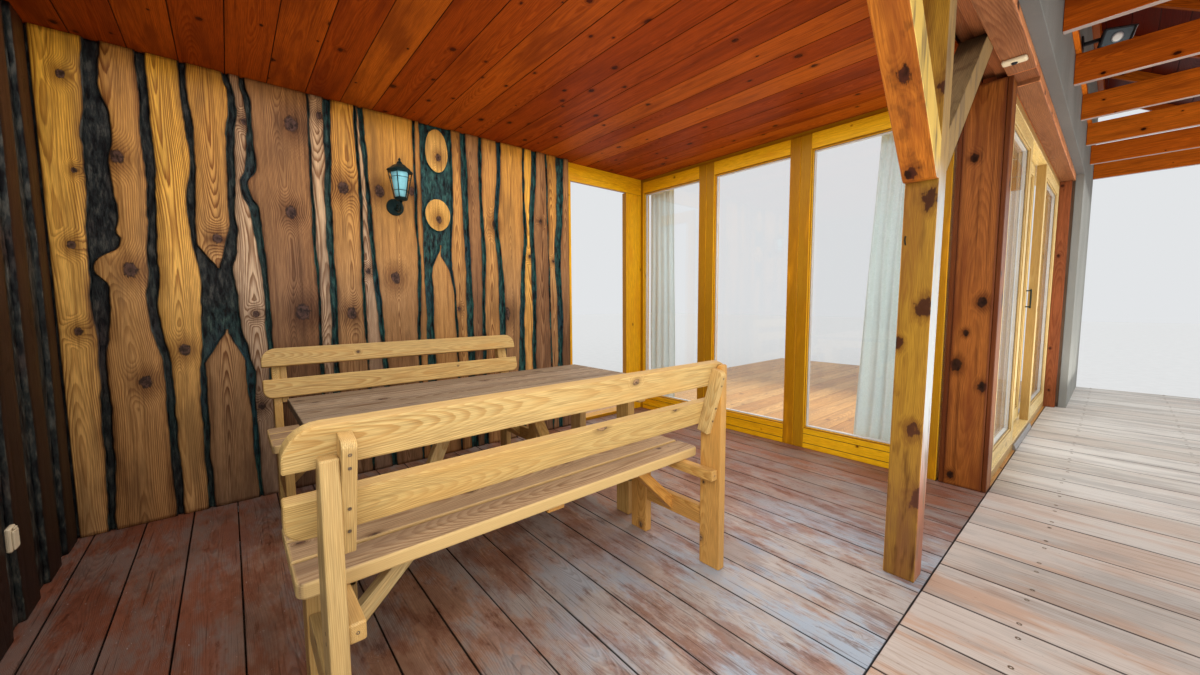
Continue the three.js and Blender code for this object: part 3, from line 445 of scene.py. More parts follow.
def worn_paint(f, color, roughness, height, side, late):
    """Red-brown deck varnish, worn through and bleached to bluish grey near the open corner."""
    spot = f.place()
    x, y = f.split(spot)[:2]
    cloud = f.noise(spot, (1.7, 1.3, 1.0), 6.0, 0.68)
    drift = f.split(f.noise(spot, (4.2, 2.0, 1.0), 6.0, 0.68, color=True))
    scuff = f.noise(spot, (26.0, 6.0, 6.0), 6.0, 0.72)
    crack = f.noise(f.attribute("grain"), (2.6, 130.0, 130.0), 3.0, 0.6)
    fleck = f.noise(spot, (110.0, 36.0, 40.0), 3.0, 0.7)
    tone = f.attribute("tone", vector=False)
    inward = f.band(f.fma(cloud, 1.6, y), 1.3, -0.1)
    mouth = f.band(f.fma(cloud, 1.4, x), -2.8, -1.9)
    far = f.band(f.fma(cloud, 1.4, x), -1.3, -0.1, 1.0, 0.05)
    light_side = f.times(f.times(inward, mouth), far)
    worn = f.times(f.band(f.fma(cloud, 1.4, x), -3.5, -2.5), 0.8)
    worn = f.math("MAXIMUM", f.times(worn, f.fma(far, 0.7, 0.3)), light_side)
    red = f.mix(tone, tint(114, 64, 44), tint(142, 84, 58))
    dull = f.mix(drift[1], tint(108, 88, 76), tint(130, 110, 98))
    blotch = f.fma(scuff, 0.45, f.times(drift[0], 0.55))
    color_red = f.mix(f.band(blotch, 0.44, 0.58, 0.05, 0.8), red, dull)
    brown = f.mix(f.band(drift[1], 0.44, 0.56), tint(184, 136, 102), tint(166, 150, 136))
    grey = f.mix(f.band(drift[2], 0.44, 0.58), tint(184, 174, 164), tint(168, 178, 186))
    rub = f.band(f.fma(scuff, 0.5, f.times(drift[0], 0.5)), 0.42, 0.56)
    shade = f.mix(f.times(worn, f.fma(rub, 0.6, 0.4)), color_red, brown)
    shade = f.mix(f.times(light_side, f.fma(rub, 0.75, 0.25)), shade, grey)
    dark = f.mix(1.0, shade, (0.5, 0.46, 0.46, 1), "MULTIPLY")
    shade = f.mix(f.band(drift[1], 0.5, 0.38, 0.0, 0.45), shade, dark)
    color = f.mix(f.times(late, 0.5), shade, dark)
    color = f.dim(color, f.band(scuff, 0.42, 0.32, 0.0, 0.6), (0.42, 0.38, 0.36))
    color = f.dim(color, f.band(crack, 0.42, 0.3, 0.0, 0.7), (0.34, 0.29, 0.27))
    color = f.over(color, fleck, 0.66, 0.78, 0.5, (204, 196, 188))
    color = f.over(color, fleck, 0.32, 0.24, 0.6, (50, 38, 34))
    return color, f.fma(scuff, 0.4, 0.24), f.plus(height, f.times(scuff, 0.8))


def walkway_wear(f, color, roughness, height, side, late):
    """Grey-beige deck paint with warmer rubbed clouds and fine streaks along the boards."""
    spot = f.place()
    cloud = f.noise(spot, (1.5, 1.0, 1.0), 5.0, 0.64)
    drift = f.split(f.noise(f.attribute("grain"), (1.3, 6.0, 6.0), 5.0, 0.64, color=True))
    streak = f.noise(f.attribute("grain"), (2.4, 110.0, 110.0), 4.0, 0.62)
    fleck = f.noise(spot, (70.0, 26.0, 30.0), 3.0, 0.7)
    tone = f.attribute("tone", vector=False)
    x = f.split(spot)[0]
    near = f.band(f.fma(cloud, 2.0, x), 1.4, -1.2)
    shade = f.mix(tone, tint(198, 192, 182), tint(218, 214, 206))
    shade = f.mix(f.times(near, 0.6), shade, tint(190, 170, 152))
    warm = f.times(f.band(drift[0], 0.46, 0.6), f.fma(near, 0.45, 0.12))
    shade = f.mix(warm, shade, tint(186, 134, 92))
    shade = f.mix(f.band(drift[1], 0.48, 0.62, 0.0, 0.45), shade, tint(150, 146, 140))
    color = f.dim(shade, f.band(streak, 0.5, 0.7, 0.0, 0.6), (0.62, 0.54, 0.48))
    color = f.dim(color, f.times(late, 0.3), (0.62, 0.54, 0.5))
    color = f.over(color, fleck, 0.34, 0.26, 0.5, (110, 88, 78))
    return color, f.fma(streak, 0.2, 0.45), f.plus(height, streak)


def bleach_outer(f, color, low_from=1.9, low_to=1.0, upper=(166, 136, 88)):
    """Pale where the timber looks out over the walkway, and brown and grimy towards the foot."""
    spot = f.place()
    z = f.split(spot)[2]
    cloud = f.noise(spot, (7.0, 7.0, 1.4), 4.0, 0.62)
    grime = f.noise(spot, (16.0, 16.0, 3.0), 3.0, 0.6)
    low = f.band(f.fma(cloud, 1.3, z), low_from, low_to)
    color = f.mix(f.times(low, f.band(cloud, 0.4, 0.62, 0.3, 0.8)), color, tint(158, 108, 92))
    share = f.times(f.band(grime, 0.54, 0.68), f.fma(low, 0.5, 0.4))
    color = f.mix(share, color, tint(62, 26, 12))
    facing = f.split(f.add("NewGeometry").outputs["Normal"])[1]
    out = f.times(f.band(facing, -0.5, -0.9), f.band(cloud, 0.25, 0.5, 0.6, 0.95))
    lifted = f.fma(cloud, 0.3, z)
    pale = f.mix(f.band(lifted, 2.0, 2.2), tint(184, 190, 190), tint(*upper))
    pale = f.mix(f.band(lifted, 1.25, 0.8), pale, tint(156, 98, 74))
    return f.mix(out, color, f.mix(f.band(grime, 0.5, 0.7, 0.0, 0.75), pale, tint(112, 94, 72)))


def outer_weather(*how, **more):
    return lambda f, color, roughness, height, side, late: (bleach_outer(f, color, *how, **more), roughness,
                                                            height)


def rafter_underside_light(f, color, roughness, height, side, late):
    """Painted light: the ties' undersides, below a height, turned near white as if lit by the light off the
    water.
    """
    facing = f.split(f.add("NewGeometry").outputs["Normal"])[2]
    spot = f.place()
    cloud = f.noise(spot, (5.0, 3.0, 5.0), 3.0)
    # Painted light: downward faces low on the ties go near white.
    out = f.times(f.band(facing, -0.5, -0.9), f.band(cloud, 0.3, 0.6, 0.8, 1.0))
    out = f.times(out, f.band(f.split(spot)[2], 3.06, 3.0))
    return f.mix(out, color, tint(244, 236, 226)), roughness, height


WALL_KNOTS = (
    (347, 2197, 34), (319, 1686, 26), (351, 1089, 38), (603, 1874, 30), (615, 1075, 28), (816, 1885, 30),
    (1023, 1917, 22), (894, 1313, 30), (492, 2285, 16), (124, 1083, 14), (130, 2158, 14), (724, 1352, 14),
    (1216, 2181, 20), (1206, 1742, 20), (1336, 1095, 12), (1650, 1752, 26), (1729, 1047, 40), (1960, 1522, 12),
    (2074, 1824, 14), (2198, 1497, 11), (-528, 2206, 15), (-516, 1775, 10), (-547, 1424, 15), (-553, 1014, 15),
    (-372, 1866, 24), (-361, 1316, 28), (-343, 742, 24), (-187, 899, 24), (-20, 1501, 20), (121, 542, 16),
)

CEILING_WOOD = wood("ceiling_varnish", [(140, 54, 6), (152, 64, 8), (160, 70, 10), (176, 88, 18)], ring=5.0,
    contrast=0.5, knots=0.75, knot=(52, 14, 4), cell=(0.5, 0.13), knot_size=0.012, stain=(84, 22, 4),
    stains=0.7, seam_and_highlight=(24, 6, 2), seam_and_highlight_share=0.9, shine=0.06, bump=0.12, streaks=0.6)
PLANK_WOOD = wood("plank_varnish", (), ring=6.0, contrast=0.95, dark=(0.34, 0.21, 0.12), knots=0.0,
    knot=(62, 44, 36), stain=(70, 42, 26), stains=0.6, seam_and_highlight_share=0.0, rough=0.4, coat=0.08, shine=0.2,
    bump=0.3, bark=bark_edges, listed=WALL_KNOTS, bow_reach=4.5, bow_by=0.036, halo_reach=3.6,
    halo_share=0.75, streaks=0.7)
SIDE_WOOD = wood("side_plank_stain", (), contrast=0.7, knots=0.4, knot=(40, 22, 14), stain=(30, 20, 16),
    stains=0.6, seam_and_highlight_share=0.0, bump=0.35, bark=bark_edges, streaks=0.9)
BROWN_WOOD = wood("brown_stain", [(214, 124, 72), (226, 142, 88), (236, 158, 104)], ring=5.0, contrast=0.6,
    knot=(56, 24, 12), cell=(0.4, 0.14), knot_size=0.014, stain=(120, 60, 32), stains=0.5,
    seam_and_highlight=(60, 32, 16), shine=0.2)
POST_WOOD = wood("post_stain", [(253, 190, 54), (254, 194, 60), (255, 200, 68)], ring=4.5, contrast=0.5,
    knots=0.85, knot=(36, 22, 18), cell=(0.42, 0.15), knot_size=0.026, stain=(130, 52, 22), stains=0.7,
    all_round=True, seam_and_highlight=(70, 36, 18), rough=0.42, shine=0.2, paint=outer_weather(), halo_share=0.8,
    streaks=0.45)
BRACE_WOOD = wood("left_brace_stain", [(178, 102, 28), (192, 118, 42)], ring=4.5, contrast=0.5, knots=0.95,
    knot=(44, 20, 14), cell=(0.34, 0.15), knot_size=0.022, stain=(110, 42, 16), stains=0.7, all_round=True,
    seam_and_highlight=(80, 40, 18), rough=0.42, shine=0.2, paint=outer_weather(0.5, 0.0, upper=(228, 192, 100)))
RIGHT_BRACE_WOOD = wood("right_brace_wood", [(128, 110, 76), (142, 122, 86)], contrast=0.5, knots=0.4,
    knot=(90, 64, 44), stain=(100, 88, 64), stains=0.5, rough=0.6,
    paint=outer_weather(0.5, 0.0, upper=(158, 128, 80)))
CORNER_WOOD = wood("corner_stain", [(136, 76, 26), (150, 90, 38)], ring=5.0, contrast=0.6, knots=0.95,
    knot=(30, 16, 10), cell=(0.46, 0.17), knot_size=0.022, stain=(92, 38, 14), stains=0.8,
    seam_and_highlight=(74, 30, 12), seam_and_highlight_width=0.022, rough=0.38, coat=0.08, shine=0.25, halo_share=0.8, streaks=0.8)
GOLD_WOOD = wood("gold_varnish", [(226, 164, 10), (232, 172, 18), (238, 184, 28)], ring=4.5, contrast=0.3,
    knots=0.3, knot=(150, 88, 10), cell=(0.6, 0.12), knot_size=0.007, stain=(206, 126, 8), stains=0.6,
    seam_and_highlight=(120, 70, 8), seam_and_highlight_width=0.002, rough=0.34, coat=0.08, shine=0.2, bump=0.12, streaks=0.25)
SIDE_GOLD = wood("side_varnish", [(234, 204, 130), (240, 216, 156)], ring=4.5, contrast=0.3, knots=0.2,
    knot=(150, 100, 30), seam_and_highlight=(140, 96, 30), seam_and_highlight_width=0.002, rough=0.35, coat=0.1, bump=0.12,
    streaks=0.25)
BENCH_WOOD = wood("bench_varnish", [(206, 144, 64), (200, 166, 100), (208, 182, 128)],
    dark=(0.64, 0.42, 0.2), ring=3.4, contrast=0.6, knot=(120, 92, 66), cell=(0.5, 0.13), knot_size=0.013,
    stain=(206, 150, 72), stains=0.5, seam_and_highlight=(176, 136, 80), seam_and_highlight_width=0.004, seam_and_highlight_share=0.35, rough=0.42,
    coat=0.05, streaks=0.25)
# Its light edge band is a painted highlight along the seat boards' edges.
SEAT_WOOD = wood("seat_wood", [(164, 134, 98), (182, 152, 114)], ring=4.5, contrast=0.7, knot=(84, 60, 46),
    stain=(118, 92, 70), stains=0.5, seam_and_highlight=(224, 188, 120), seam_and_highlight_width=0.01)
TABLE_WOOD = wood("table_weathered", [(126, 108, 84), (140, 121, 96), (152, 133, 108)], ring=4.5,
    knot=(84, 62, 48), cell=(0.5, 0.1), stain=(104, 82, 64), stains=0.5, seam_and_highlight=(60, 46, 36), rough=0.55,
    streaks=0.8)
FLOOR_WOOD = wood("floor_varnish", [(196, 140, 72), (208, 154, 84), (216, 166, 98)], contrast=0.5,
    knots=0.4, knot=(120, 66, 30), seam_and_highlight=(100, 62, 30), rough=0.35, coat=0.15, bump=0.1)
PANEL_WOOD = wood("panel_stain", [(128, 66, 36), (140, 78, 44)], contrast=0.6, knot=(60, 22, 10),
    seam_and_highlight=(60, 26, 12), rough=0.45, shine=0.2)
RAFTER_WOOD = wood("rafter_varnish", [(186, 84, 16), (206, 102, 22), (218, 118, 28)], ring=5.0,
    contrast=0.5, knot=(50, 16, 6), stain=(96, 28, 8), stains=0.6, rough=0.45, shine=0.1, seam_and_highlight=(90, 40, 10),
    paint=rafter_underside_light)
ROOF_WOOD = wood("roof_board_stain", [(66, 14, 6), (88, 22, 10)], contrast=0.4, knots=0.3, knot=(36, 10, 4),
    seam_and_highlight=(20, 4, 2), shine=0.15)
RAW_WOOD = wood("raw_timber", [(98, 78, 60), (116, 92, 70), (130, 106, 82)], contrast=0.6,
    knot=(56, 38, 26), seam_and_highlight=(50, 38, 28), rough=0.75, bump=0.5)
DECK_WOOD = wood("deck_paint", [(160, 128, 104), (172, 140, 116), (184, 152, 128)], ring=4.0, contrast=0.7,
    knots=0.6, knot=(52, 36, 30), cell=(0.55, 0.13), knot_size=0.012, seam_and_highlight=(24, 16, 13), seam_and_highlight_width=0.0035,
    seam_and_highlight_share=0.85, bump=0.5, shine=0.14, paint=worn_paint)
WALK_WOOD = wood("walkway_paint", [(160, 130, 108), (170, 142, 118)], contrast=0.5, knots=0.45,
    knot=(110, 78, 58), cell=(0.6, 0.16), knot_size=0.012, seam_and_highlight=(44, 30, 27), seam_and_highlight_width=0.0045,
    seam_and_highlight_share=0.85, bump=0.45, paint=walkway_wear)


def flat_finish(name, color, rough, scale=60.0, vary=0.12, bump=0.1, **values):
    """A plain colour with mottling and a fine surface."""
    f = Finish(name, **values)
    spot = f.place()
    mottle = f.noise(spot, (scale * 0.1,) * 3, 3.0)
    fine = f.noise(spot, (scale * 6,) * 3, 2.0)
    dark = tuple(c * (1 - vary) for c in tint(*color)[:3]) + (1.0,)
    light = tuple(c * (1 + vary) for c in tint(*color)[:3]) + (1.0,)
    shade = f.mix(f.band(mottle, 0.35, 0.65), dark, light)
    return f.done(shade, f.fma(fine, 0.12, rough), fine, bump, 0.0005)


def render_finish():
    """Fine trowelled render with faint water marks, and painted shade on its downward faces."""
    f = Finish("render_coat")
    spot = f.place()
    grit = f.noise(spot, (420.0,) * 3, 3.0, 0.7)
    cloud = f.noise(spot, (1.6, 1.6, 0.9), 4.0)
    streak = f.noise(spot, (26.0, 26.0, 1.2), 3.0)
    color = f.mix(f.band(cloud, 0.35, 0.65), tint(134, 134, 126), tint(148, 148, 140))
    # Painted shade: faces that look down are darkened towards grey-brown.
    facing = f.split(f.add("NewGeometry").outputs["Normal"])[2]
    color = f.mix(f.band(facing, -0.5, -0.9, 0.0, 0.75), color, tint(86, 82, 80))
    color = f.over(color, streak, 0.55, 0.75, 0.3, (118, 112, 104))
    color = f.mix(f.band(grit, 0.35, 0.7, 0.25, 0.0), color, tint(96, 92, 86))
    return f.done(color, 0.9, grit, 0.5, 0.002)


def glass_finish(name, weight):
    """Thin clear glazing: mostly see-through, with a share of mirror."""
    f = Finish(name, Metallic=1.0, Alpha=weight)
    haze = f.noise(f.place(), (3.0,) * 3, 2.0)
    smear = f.noise(f.place(), (24.0, 24.0, 5.0), 3.0)
    return f.done(f.mix(haze, (0.93, 0.97, 0.96, 1), (0.99, 0.99, 0.98, 1)),
                  f.band(smear, 0.4, 0.8, 0.015, 0.06))


def curtain_finish():
    f = Finish("sheer_cloth", Sheen_Weight=0.3, Sheen_Roughness=0.4, Specular_IOR_Level=0.1)
    spot = f.place()
    weave = f.times(f.noise(spot, (900.0, 900.0, 60.0), 1.0), f.noise(spot, (60.0, 60.0, 900.0), 1.0))
    color = f.mix(f.band(weave, 0.15, 0.4), tint(202, 218, 212), tint(224, 238, 232))
    return f.done(color, 0.9, weave, 0.3, 0.0006)


def bark_finish():
    f = Finish("painted_bark")
    spot = f.place()
    color, blot = bark_color(f, spot)
    ridge = f.noise(spot, (120.0, 120.0, 26.0), 3.0, 0.6)
    color = f.over(color, ridge, 0.5, 0.32, 0.7, (8, 9, 10))
    return f.done(color, 0.65, ridge, 0.9, 0.004)


BARK = bark_finish()
RENDER = render_finish()
GLASS = glass_finish("pane_glass", 0.05)
SIDE_GLASS = glass_finish("side_pane_glass", 0.22)
CURTAIN = curtain_finish()
DARK_METAL = flat_finish("dark_metal", (24, 46, 44), 0.4, Metallic=0.5)
SILVER = flat_finish("silver_metal", (176, 178, 180), 0.3, vary=0.06, Metallic=0.9)
CREAM = flat_finish("cream_plastic", (214, 196, 160), 0.45, vary=0.06)
BLACK = flat_finish("black_plastic", (28, 28, 30), 0.5)
SMOKED = flat_finish("smoked_glass", (70, 82, 86), 0.1, vary=0.1)
SEAL = flat_finish("dark_seal", (22, 20, 18), 0.7)
SPACER = flat_finish("pale_spacer", (206, 206, 200), 0.4, vary=0.05)
SCREW = flat_finish("screw_head", (128, 112, 92), 0.4, Metallic=0.7)
LAMP_GLASS = flat_finish("lamp_glass", (146, 216, 222), 0.12, vary=0.2)
LAMP = flat_finish("lamp_white", (236, 236, 226), 0.3, vary=0.03)

# Sizes shared with the part's solids, in survey millimetres

LEFT, RIGHT, OUTER, INNER = -790, 8400, -1030, 4280
LEFT_FACE, PLANK_FACE, WALL_REAR = -620, 3220, 3375
SEAM, WALK_EDGE = 437, 431
GLAZED_FACE, GLAZED_REAR = 3352, 3442
CEILING, WALL_TOP = 2400, 3760
JAMB_END = 6650
DECK_THICK = 32
# The back wall's lining and planks end here, at the doorway
WALL_END = (2310, 2375)
JOIST_HIGH = (-181.5, -32.5)


def joints(start, pitch, low, high):
    """Board edges from low to high, on the pitch."""
    first = math.ceil((low - start) / pitch + 0.15)
    last = math.floor((high - start) / pitch - 0.15)
    return [low, *(start + k * pitch for k in range(first, last + 1)), high]


def field(piece, edges, gap, span, heights, along, **how):
    """A field of boards side by side along x, or along y where the grain runs in x."""
    for a, b in zip(edges, edges[1:]):
        lift = piece.chance.uniform(-0.6, 0.0)
        cross = (a + gap / 2, b - gap / 2)
        rise = (heights[0], heights[1] + lift)
        if along == "y":
            board(piece, cross, span, rise, "y", **how)
        else:
            board(piece, span, cross, rise, "x", **how)


# Where one joint lies, and the width of a board
PORCH_BOARDS, WALK_BOARDS, ROOM_BOARDS = (-19, 183), (2020, 275), (600, 200)
SCREW_LINES = (154, -420, -960)


def decks():
    deck = Piece("porch_boards", [DECK_WOOD])
    field(deck, joints(*PORCH_BOARDS, LEFT, GLAZED_FACE), 3, (SEAM - 0.5, WALL_REAR), (-DECK_THICK, 0), "y",
          round_by=2)
    board(deck, (GLAZED_FACE + 1, 3488), (SEAM, 679), (-DECK_THICK, -0.5), "y", 2.5)
    deck.make("porch_paint", "porch_deck")
    walk = Piece("walkway_boards", [WALK_WOOD])
    edges = joints(*WALK_BOARDS, LEFT, RIGHT)
    field(walk, edges, 4, (OUTER, WALK_EDGE + 2.5), (-DECK_THICK, 0), "y", round_by=2.5)
    walk.make("walkway_paint", "walkway_deck")
    heads = Piece("walkway_screws", [SCREW])
    for a, b in pairs(edges):
        for y in SCREW_LINES:
            for x in (a + 48, b - 48):
                screw_head(heads, Vector((x + heads.chance.uniform(-8, 8), y + heads.chance.uniform(-6, 6), 0)),
                           UNIT[2], 8, 0)
    heads.make("silver_metal")
    room = Piece("room_boards", [FLOOR_WOOD])
    field(room, joints(3900, 400, WALL_REAR, INNER), 1, (LEFT, GLAZED_FACE), (-DECK_THICK, 0), "x", round_by=1)
    field(room, joints(*ROOM_BOARDS, 682, INNER), 1, (GLAZED_FACE, RIGHT), (-DECK_THICK, 0), "x", round_by=1)
    board(room, (3490, RIGHT), (SEAM, 681), (-DECK_THICK, 0), "x", 1)
    room.make("floor_pine", "room_floor")


BEARERS, BEARER_HALF, BEARER_HIGH, BLOCK_HIGH = 11, 55, (-362, -182), (-302, -212)


def base():
    frame_piece = Piece("bearers", [RAW_WOOD])
    lines = spread(LEFT + BEARER_HALF, RIGHT - BEARER_HALF, BEARERS)
    for x in lines:
        board(frame_piece, (x - BEARER_HALF, x + BEARER_HALF), (OUTER, INNER), BEARER_HIGH, "y", 5)
    for y in (OUTER + 60, INNER - 120):
        for a, b in pairs(lines):
            board(frame_piece, (a + 56, b - 56), (y, y + 60), BLOCK_HIGH, "x", 4)
    frame_piece.make("bearer_timber", "bearer_frame")
    joist = Piece("joists", [RAW_WOOD])
    outer_lines = spread(OUTER + 30, SEAM - 3, 4)
    inner_lines = spread(880, INNER - 30, 7)
    for y in outer_lines + inner_lines:
        half = 60 if y == outer_lines[3] else 30
        low, high = max(OUTER, y - half), min(INNER, y + half)
        for a, b in pairs(spread(LEFT + 46, RIGHT - 46, 3)):
            board(joist, (a + 0.5, b - 0.5), (low, high), JOIST_HIGH, "x")
    for a in (LEFT, RIGHT - 45):
        board(joist, (a, a + 45), (OUTER, INNER), JOIST_HIGH, "y")
    joist.make("bearer_timber", "joist_frame")


# The plank-clad walls

# Bark gaps: x at the ceiling and at the deck, width there, then one bend and one swelling.
BARK_GAPS = [
    (-429, -505, 57, 28, 1600, 12, 1700, 45),
    (-264, -255, 37, 33, 1350, -22, 600, 0),
    (-115, -130, 32, 26, 1975, 14, 900, 0),
    (62, 88, 35, 20, 1650, -22, 850, 22),
    (151, 200, 27, 30, 1825, -26, 1700, 14),
    (436, 428, 13, 16, 1100, 6, 600, 0),
    (534, 500, 37, 25, 1700, -10, 600, 0),
    (688, 698, 18, 12, 1850, 10, 600, 0),
    (720, 835, 25, 32, 1475, -6, 600, 0),
    (1050, 1030, 15, 20, 1400, 14, 600, 0),
    (1308, 1322, 12, 12, 1500, -28, 600, 0),
    (1402, 1430, 40, 60, 1350, 6, 600, 0),
    (1536, 1530, 22, 34, 1475, 16, 600, 0),
    (1692, 1700, 34, 40, 1775, -36, 1050, 22),
    (1920, 1850, 12, 76, 1700, 24, 300, 0),
    (2020, 1978, 45, 30, 1775, -24, 600, 0),
    (2137, 2178, 10, 10, 1300, 0, 600, 0),
    (2280, 2255, 76, 42, 1500, -26, 600, 0),
]
BEND_SPREAD = 260
PLANK_FOOT, PLANK_TOP, PLANK_DEPTH = 2, 2398, 25
PLANK_STEP, PLANK_RAGGED, LINING = 20, 6.5, (0, 190)
SPLIT_PLANK, FORKED_PLANK = 3, 10

# Five stains, each with its colour at a plank's top, middle and foot, and each plank's stain from the left.
STAINS = {
    "gold": ((238, 174, 56), (230, 176, 88), (198, 152, 98)),
    "honey": ((218, 154, 56), (182, 138, 88), (150, 116, 84)),
    "amber": ((200, 140, 64), (198, 148, 86), (178, 132, 82)),
    "brown": ((174, 124, 72), (148, 108, 72), (128, 98, 74)),
    "pale": ((198, 158, 112), (198, 168, 134), (156, 128, 104)),
}
PLANK_STAINS = ("gold", "amber", "gold", "honey", "pale", "brown", "pale", "honey", "pale", "honey", "amber",
                "amber", "brown", "amber", "honey", "gold", "brown", "honey", "brown")
SIDE_STAIN = ((62, 34, 21), (46, 27, 19), (38, 27, 23))


def shade_at(stain, z):
    """A stain's linear colour at a height."""
    up = z / CEILING * 2
    low, high = (stain[2], stain[1]) if up < 1 else (stain[1], stain[0])
    share = up if up < 1 else up - 1
    return [p + (q - p) * share for p, q in zip(tint(*low)[:3], tint(*high)[:3])]


def bump(z, at, wide):
    return math.exp(-(((z - at) / wide) ** 2))


def lobe(z, at, wide):
    return math.exp(-(((z - at) / wide) ** 4))


# Lobes on single edges of the gaps: height, reach and half spread.
LOBES = {
    (0, 1): ((2018, 22, 120), (1581, 16, 80), (1448, 30, 44), (1325, -46, 62), (800, -14, 160)),
    (0, -1): ((1969, -10, 60), (1300, -20, 260)),
    (1, -1): ((1080, -24, 170),), (1, 1): ((1044, -20, 170),),
    (2, -1): ((1894, 12, 110), (1150, 30, 300)),
    (3, 1): ((2240, 20, 110), (1420, -16, 110), (1180, -48, 220), (900, -18, 110)), (3, -1): ((2240, 20, 110),),
    (4, 1): ((2390, -16, 80), (1949, 14, 80), (1793, -28, 74)), (4, -1): ((2390, -16, 80), (1793, -26, 74)),
}


def gap_edge(gap, z, side):
    top, foot, wide_top, wide_foot, bend_at, bend_by, swell_at, swell_by = gap
    up = z / CEILING
    centre = foot + (top - foot) * up + bend_by * bump(z, bend_at, BEND_SPREAD)
    wide = wide_foot + (wide_top - wide_foot) * up + swell_by * bump(z, swell_at, BEND_SPREAD)
    return centre + side * wide / 2


def wobble(z, key):
    """A ragged edge: how far it strays at a height."""
    slow = noise.noise(Vector((z / 140, key * 7.3, 0.5)))
    fast = noise.noise(Vector((z / 34, key * 3.1, 8.5)))
    return PLANK_RAGGED * (1.3 * slow + 0.55 * fast)


def spread(low, high, count):
    return [low + (high - low) * k / (count - 1) for k in range(count)]


def pairs(values):
    return list(zip(values, values[1:]))


def on_back_wall(s, z, depth):
    return Vector((s, PLANK_FACE + depth, z))


def on_left_wall(s, z, depth):
    return Vector((LEFT_FACE - depth, s, z))


def live_plank(piece, at, left, right, z0, z1, tones, key, pith, edges=(True, True)):
    """A plank with waney edges: its section, point by point, at each height."""
    chance = random.Random(key)
    seed = (chance.uniform(0, 60), chance.uniform(-0.02, 0.02), chance.uniform(0.02, 0.05))
    out, depth = 7, PLANK_DEPTH
    waney = [(out, depth, 1), (out * 0.9, depth * 0.55, 1), (out * 0.5, 4.5, 0.75), (0.5, 1.2, 0.25),
             (-3, 0, 0)]
    sawn = [(0, depth, 0), (0, depth * 0.5, 0), (0, 2, 0), (-0.5, 0.6, 0), (-2, 0, 0)]
    heights = spread(z0, z1, max(3, int((z1 - z0) / PLANK_STEP) + 1))
    loops = []
    for z in heights:
        a = left(z) + (wobble(z, key + 0.3) if edges[0] else 0)
        b = right(z) + (wobble(z, key + 0.8) if edges[1] else 0)
        if b - a < 8:
            a, b = (a + b) / 2 - 4, (a + b) / 2 + 4
        tone = shade_at(tones, z)
        row = [(a - by, d, k) for by, d, k in (waney if edges[0] else sawn)]
        row += [(a + (b - a) * t, 1.0 * noise.noise(Vector((t * 3, z / 210, key))), 0) for t in (0.3, 0.5, 0.7)]
        row += [(b + by, d, k) for by, d, k in reversed(waney if edges[1] else sawn)]
        centre = (a + b) / 2
        loop = []
        for s, d, k in row:
            spot = ((z - (z0 + z1) / 2) * MM, (s - centre) * MM, -d * MM)
            grain = (z * MM + seed[0], s * MM - pith + seed[1], seed[2] - d * MM)
            half = ((z1 - z0) / 2 * MM, (b - a) / 2 * MM, depth / 2 * MM)
            loop.append(piece.vertex(at(s, z, d), grain, spot, half, tone[0], k, tone))
        loops.append(loop)
    close_loops(piece, loops)


def disc(piece, centre, half_wide, half_high, tones, key):
    """A round slice of a branching trunk, with bark round it."""
    x, z = centre
    sides = 48
    loops = []
    tone = shade_at(tones, CEILING / 2)
    for by, depth, mark, share in ((7, 25, 1, 1.0), (6, 13, 1, 1.0), (3, 4, 0.75, 1.0), (0.5, 1.2, 0.25, 1.0),
                                   (-3, 0, 0, 1.0), (0, 0, 0, 0.66), (0, 0, 0, 0.33)):
        loop = []
        for k in range(sides):
            turn = math.tau * k / sides
            stray = 1 + 0.05 * noise.noise(Vector((math.cos(turn) * 1.4, math.sin(turn) * 1.4, key)))
            s = x + (half_wide * stray * share + by) * math.cos(turn)
            h = z + (half_high * stray * share + by) * math.sin(turn)
            grain = ((h - z) * MM + key, (s - x) * MM * 1.6, 0.012 - depth * MM)
            loop.append(piece.vertex(on_back_wall(s, h, depth), grain, (0, 0, 0), (1, 1, 1), tone[0], mark,
                                     tone))
        loops.append(loop)
    close_loops(piece, loops)


def bark_sheet(piece, at, s0, s1):
    """The bark-covered backing that shows in the gaps: rough ridges that run up it."""
    near, back, step = 15, 44, 13
    grid = []
    for z in spread(PLANK_FOOT, PLANK_TOP, int((PLANK_TOP - PLANK_FOOT) / step) + 1):
        line = []
        for s in spread(s0, s1, int((s1 - s0) / step) + 1):
            ridge = noise.noise(Vector((s / 16, z / 120, near)))
            fine = noise.noise(Vector((s / 9, z / 24, near + 3)))
            line.append(piece.vertex(at(s, z, near + 3.2 - 3.2 * ridge - 1.6 * fine), bark=1))
        grid.append(line)
    skin(piece, grid, 1)
    edge = rim(grid)
    flat = at(0, 0, back)
    rear = []
    for index in edge:
        point = piece.verts[index] / MM + ORIGIN
        point = Vector((point.x, flat.y, point.z)) if at is on_back_wall else Vector((flat.x, point.y, point.z))
        rear.append(piece.vertex(point, bark=1))
    for i in range(len(edge)):
        j = (i + 1) % len(edge)
        piece.face((edge[j], edge[i], rear[i], rear[j]), 1)
    piece.face(tuple(reversed(rear)), 1)


def slide_to(start, line, z, at, over):
    """A place that moves from its start to a line as z goes on from a height."""
    return start + (line(z) - start) * min(1, max(0, (z - at) / over))


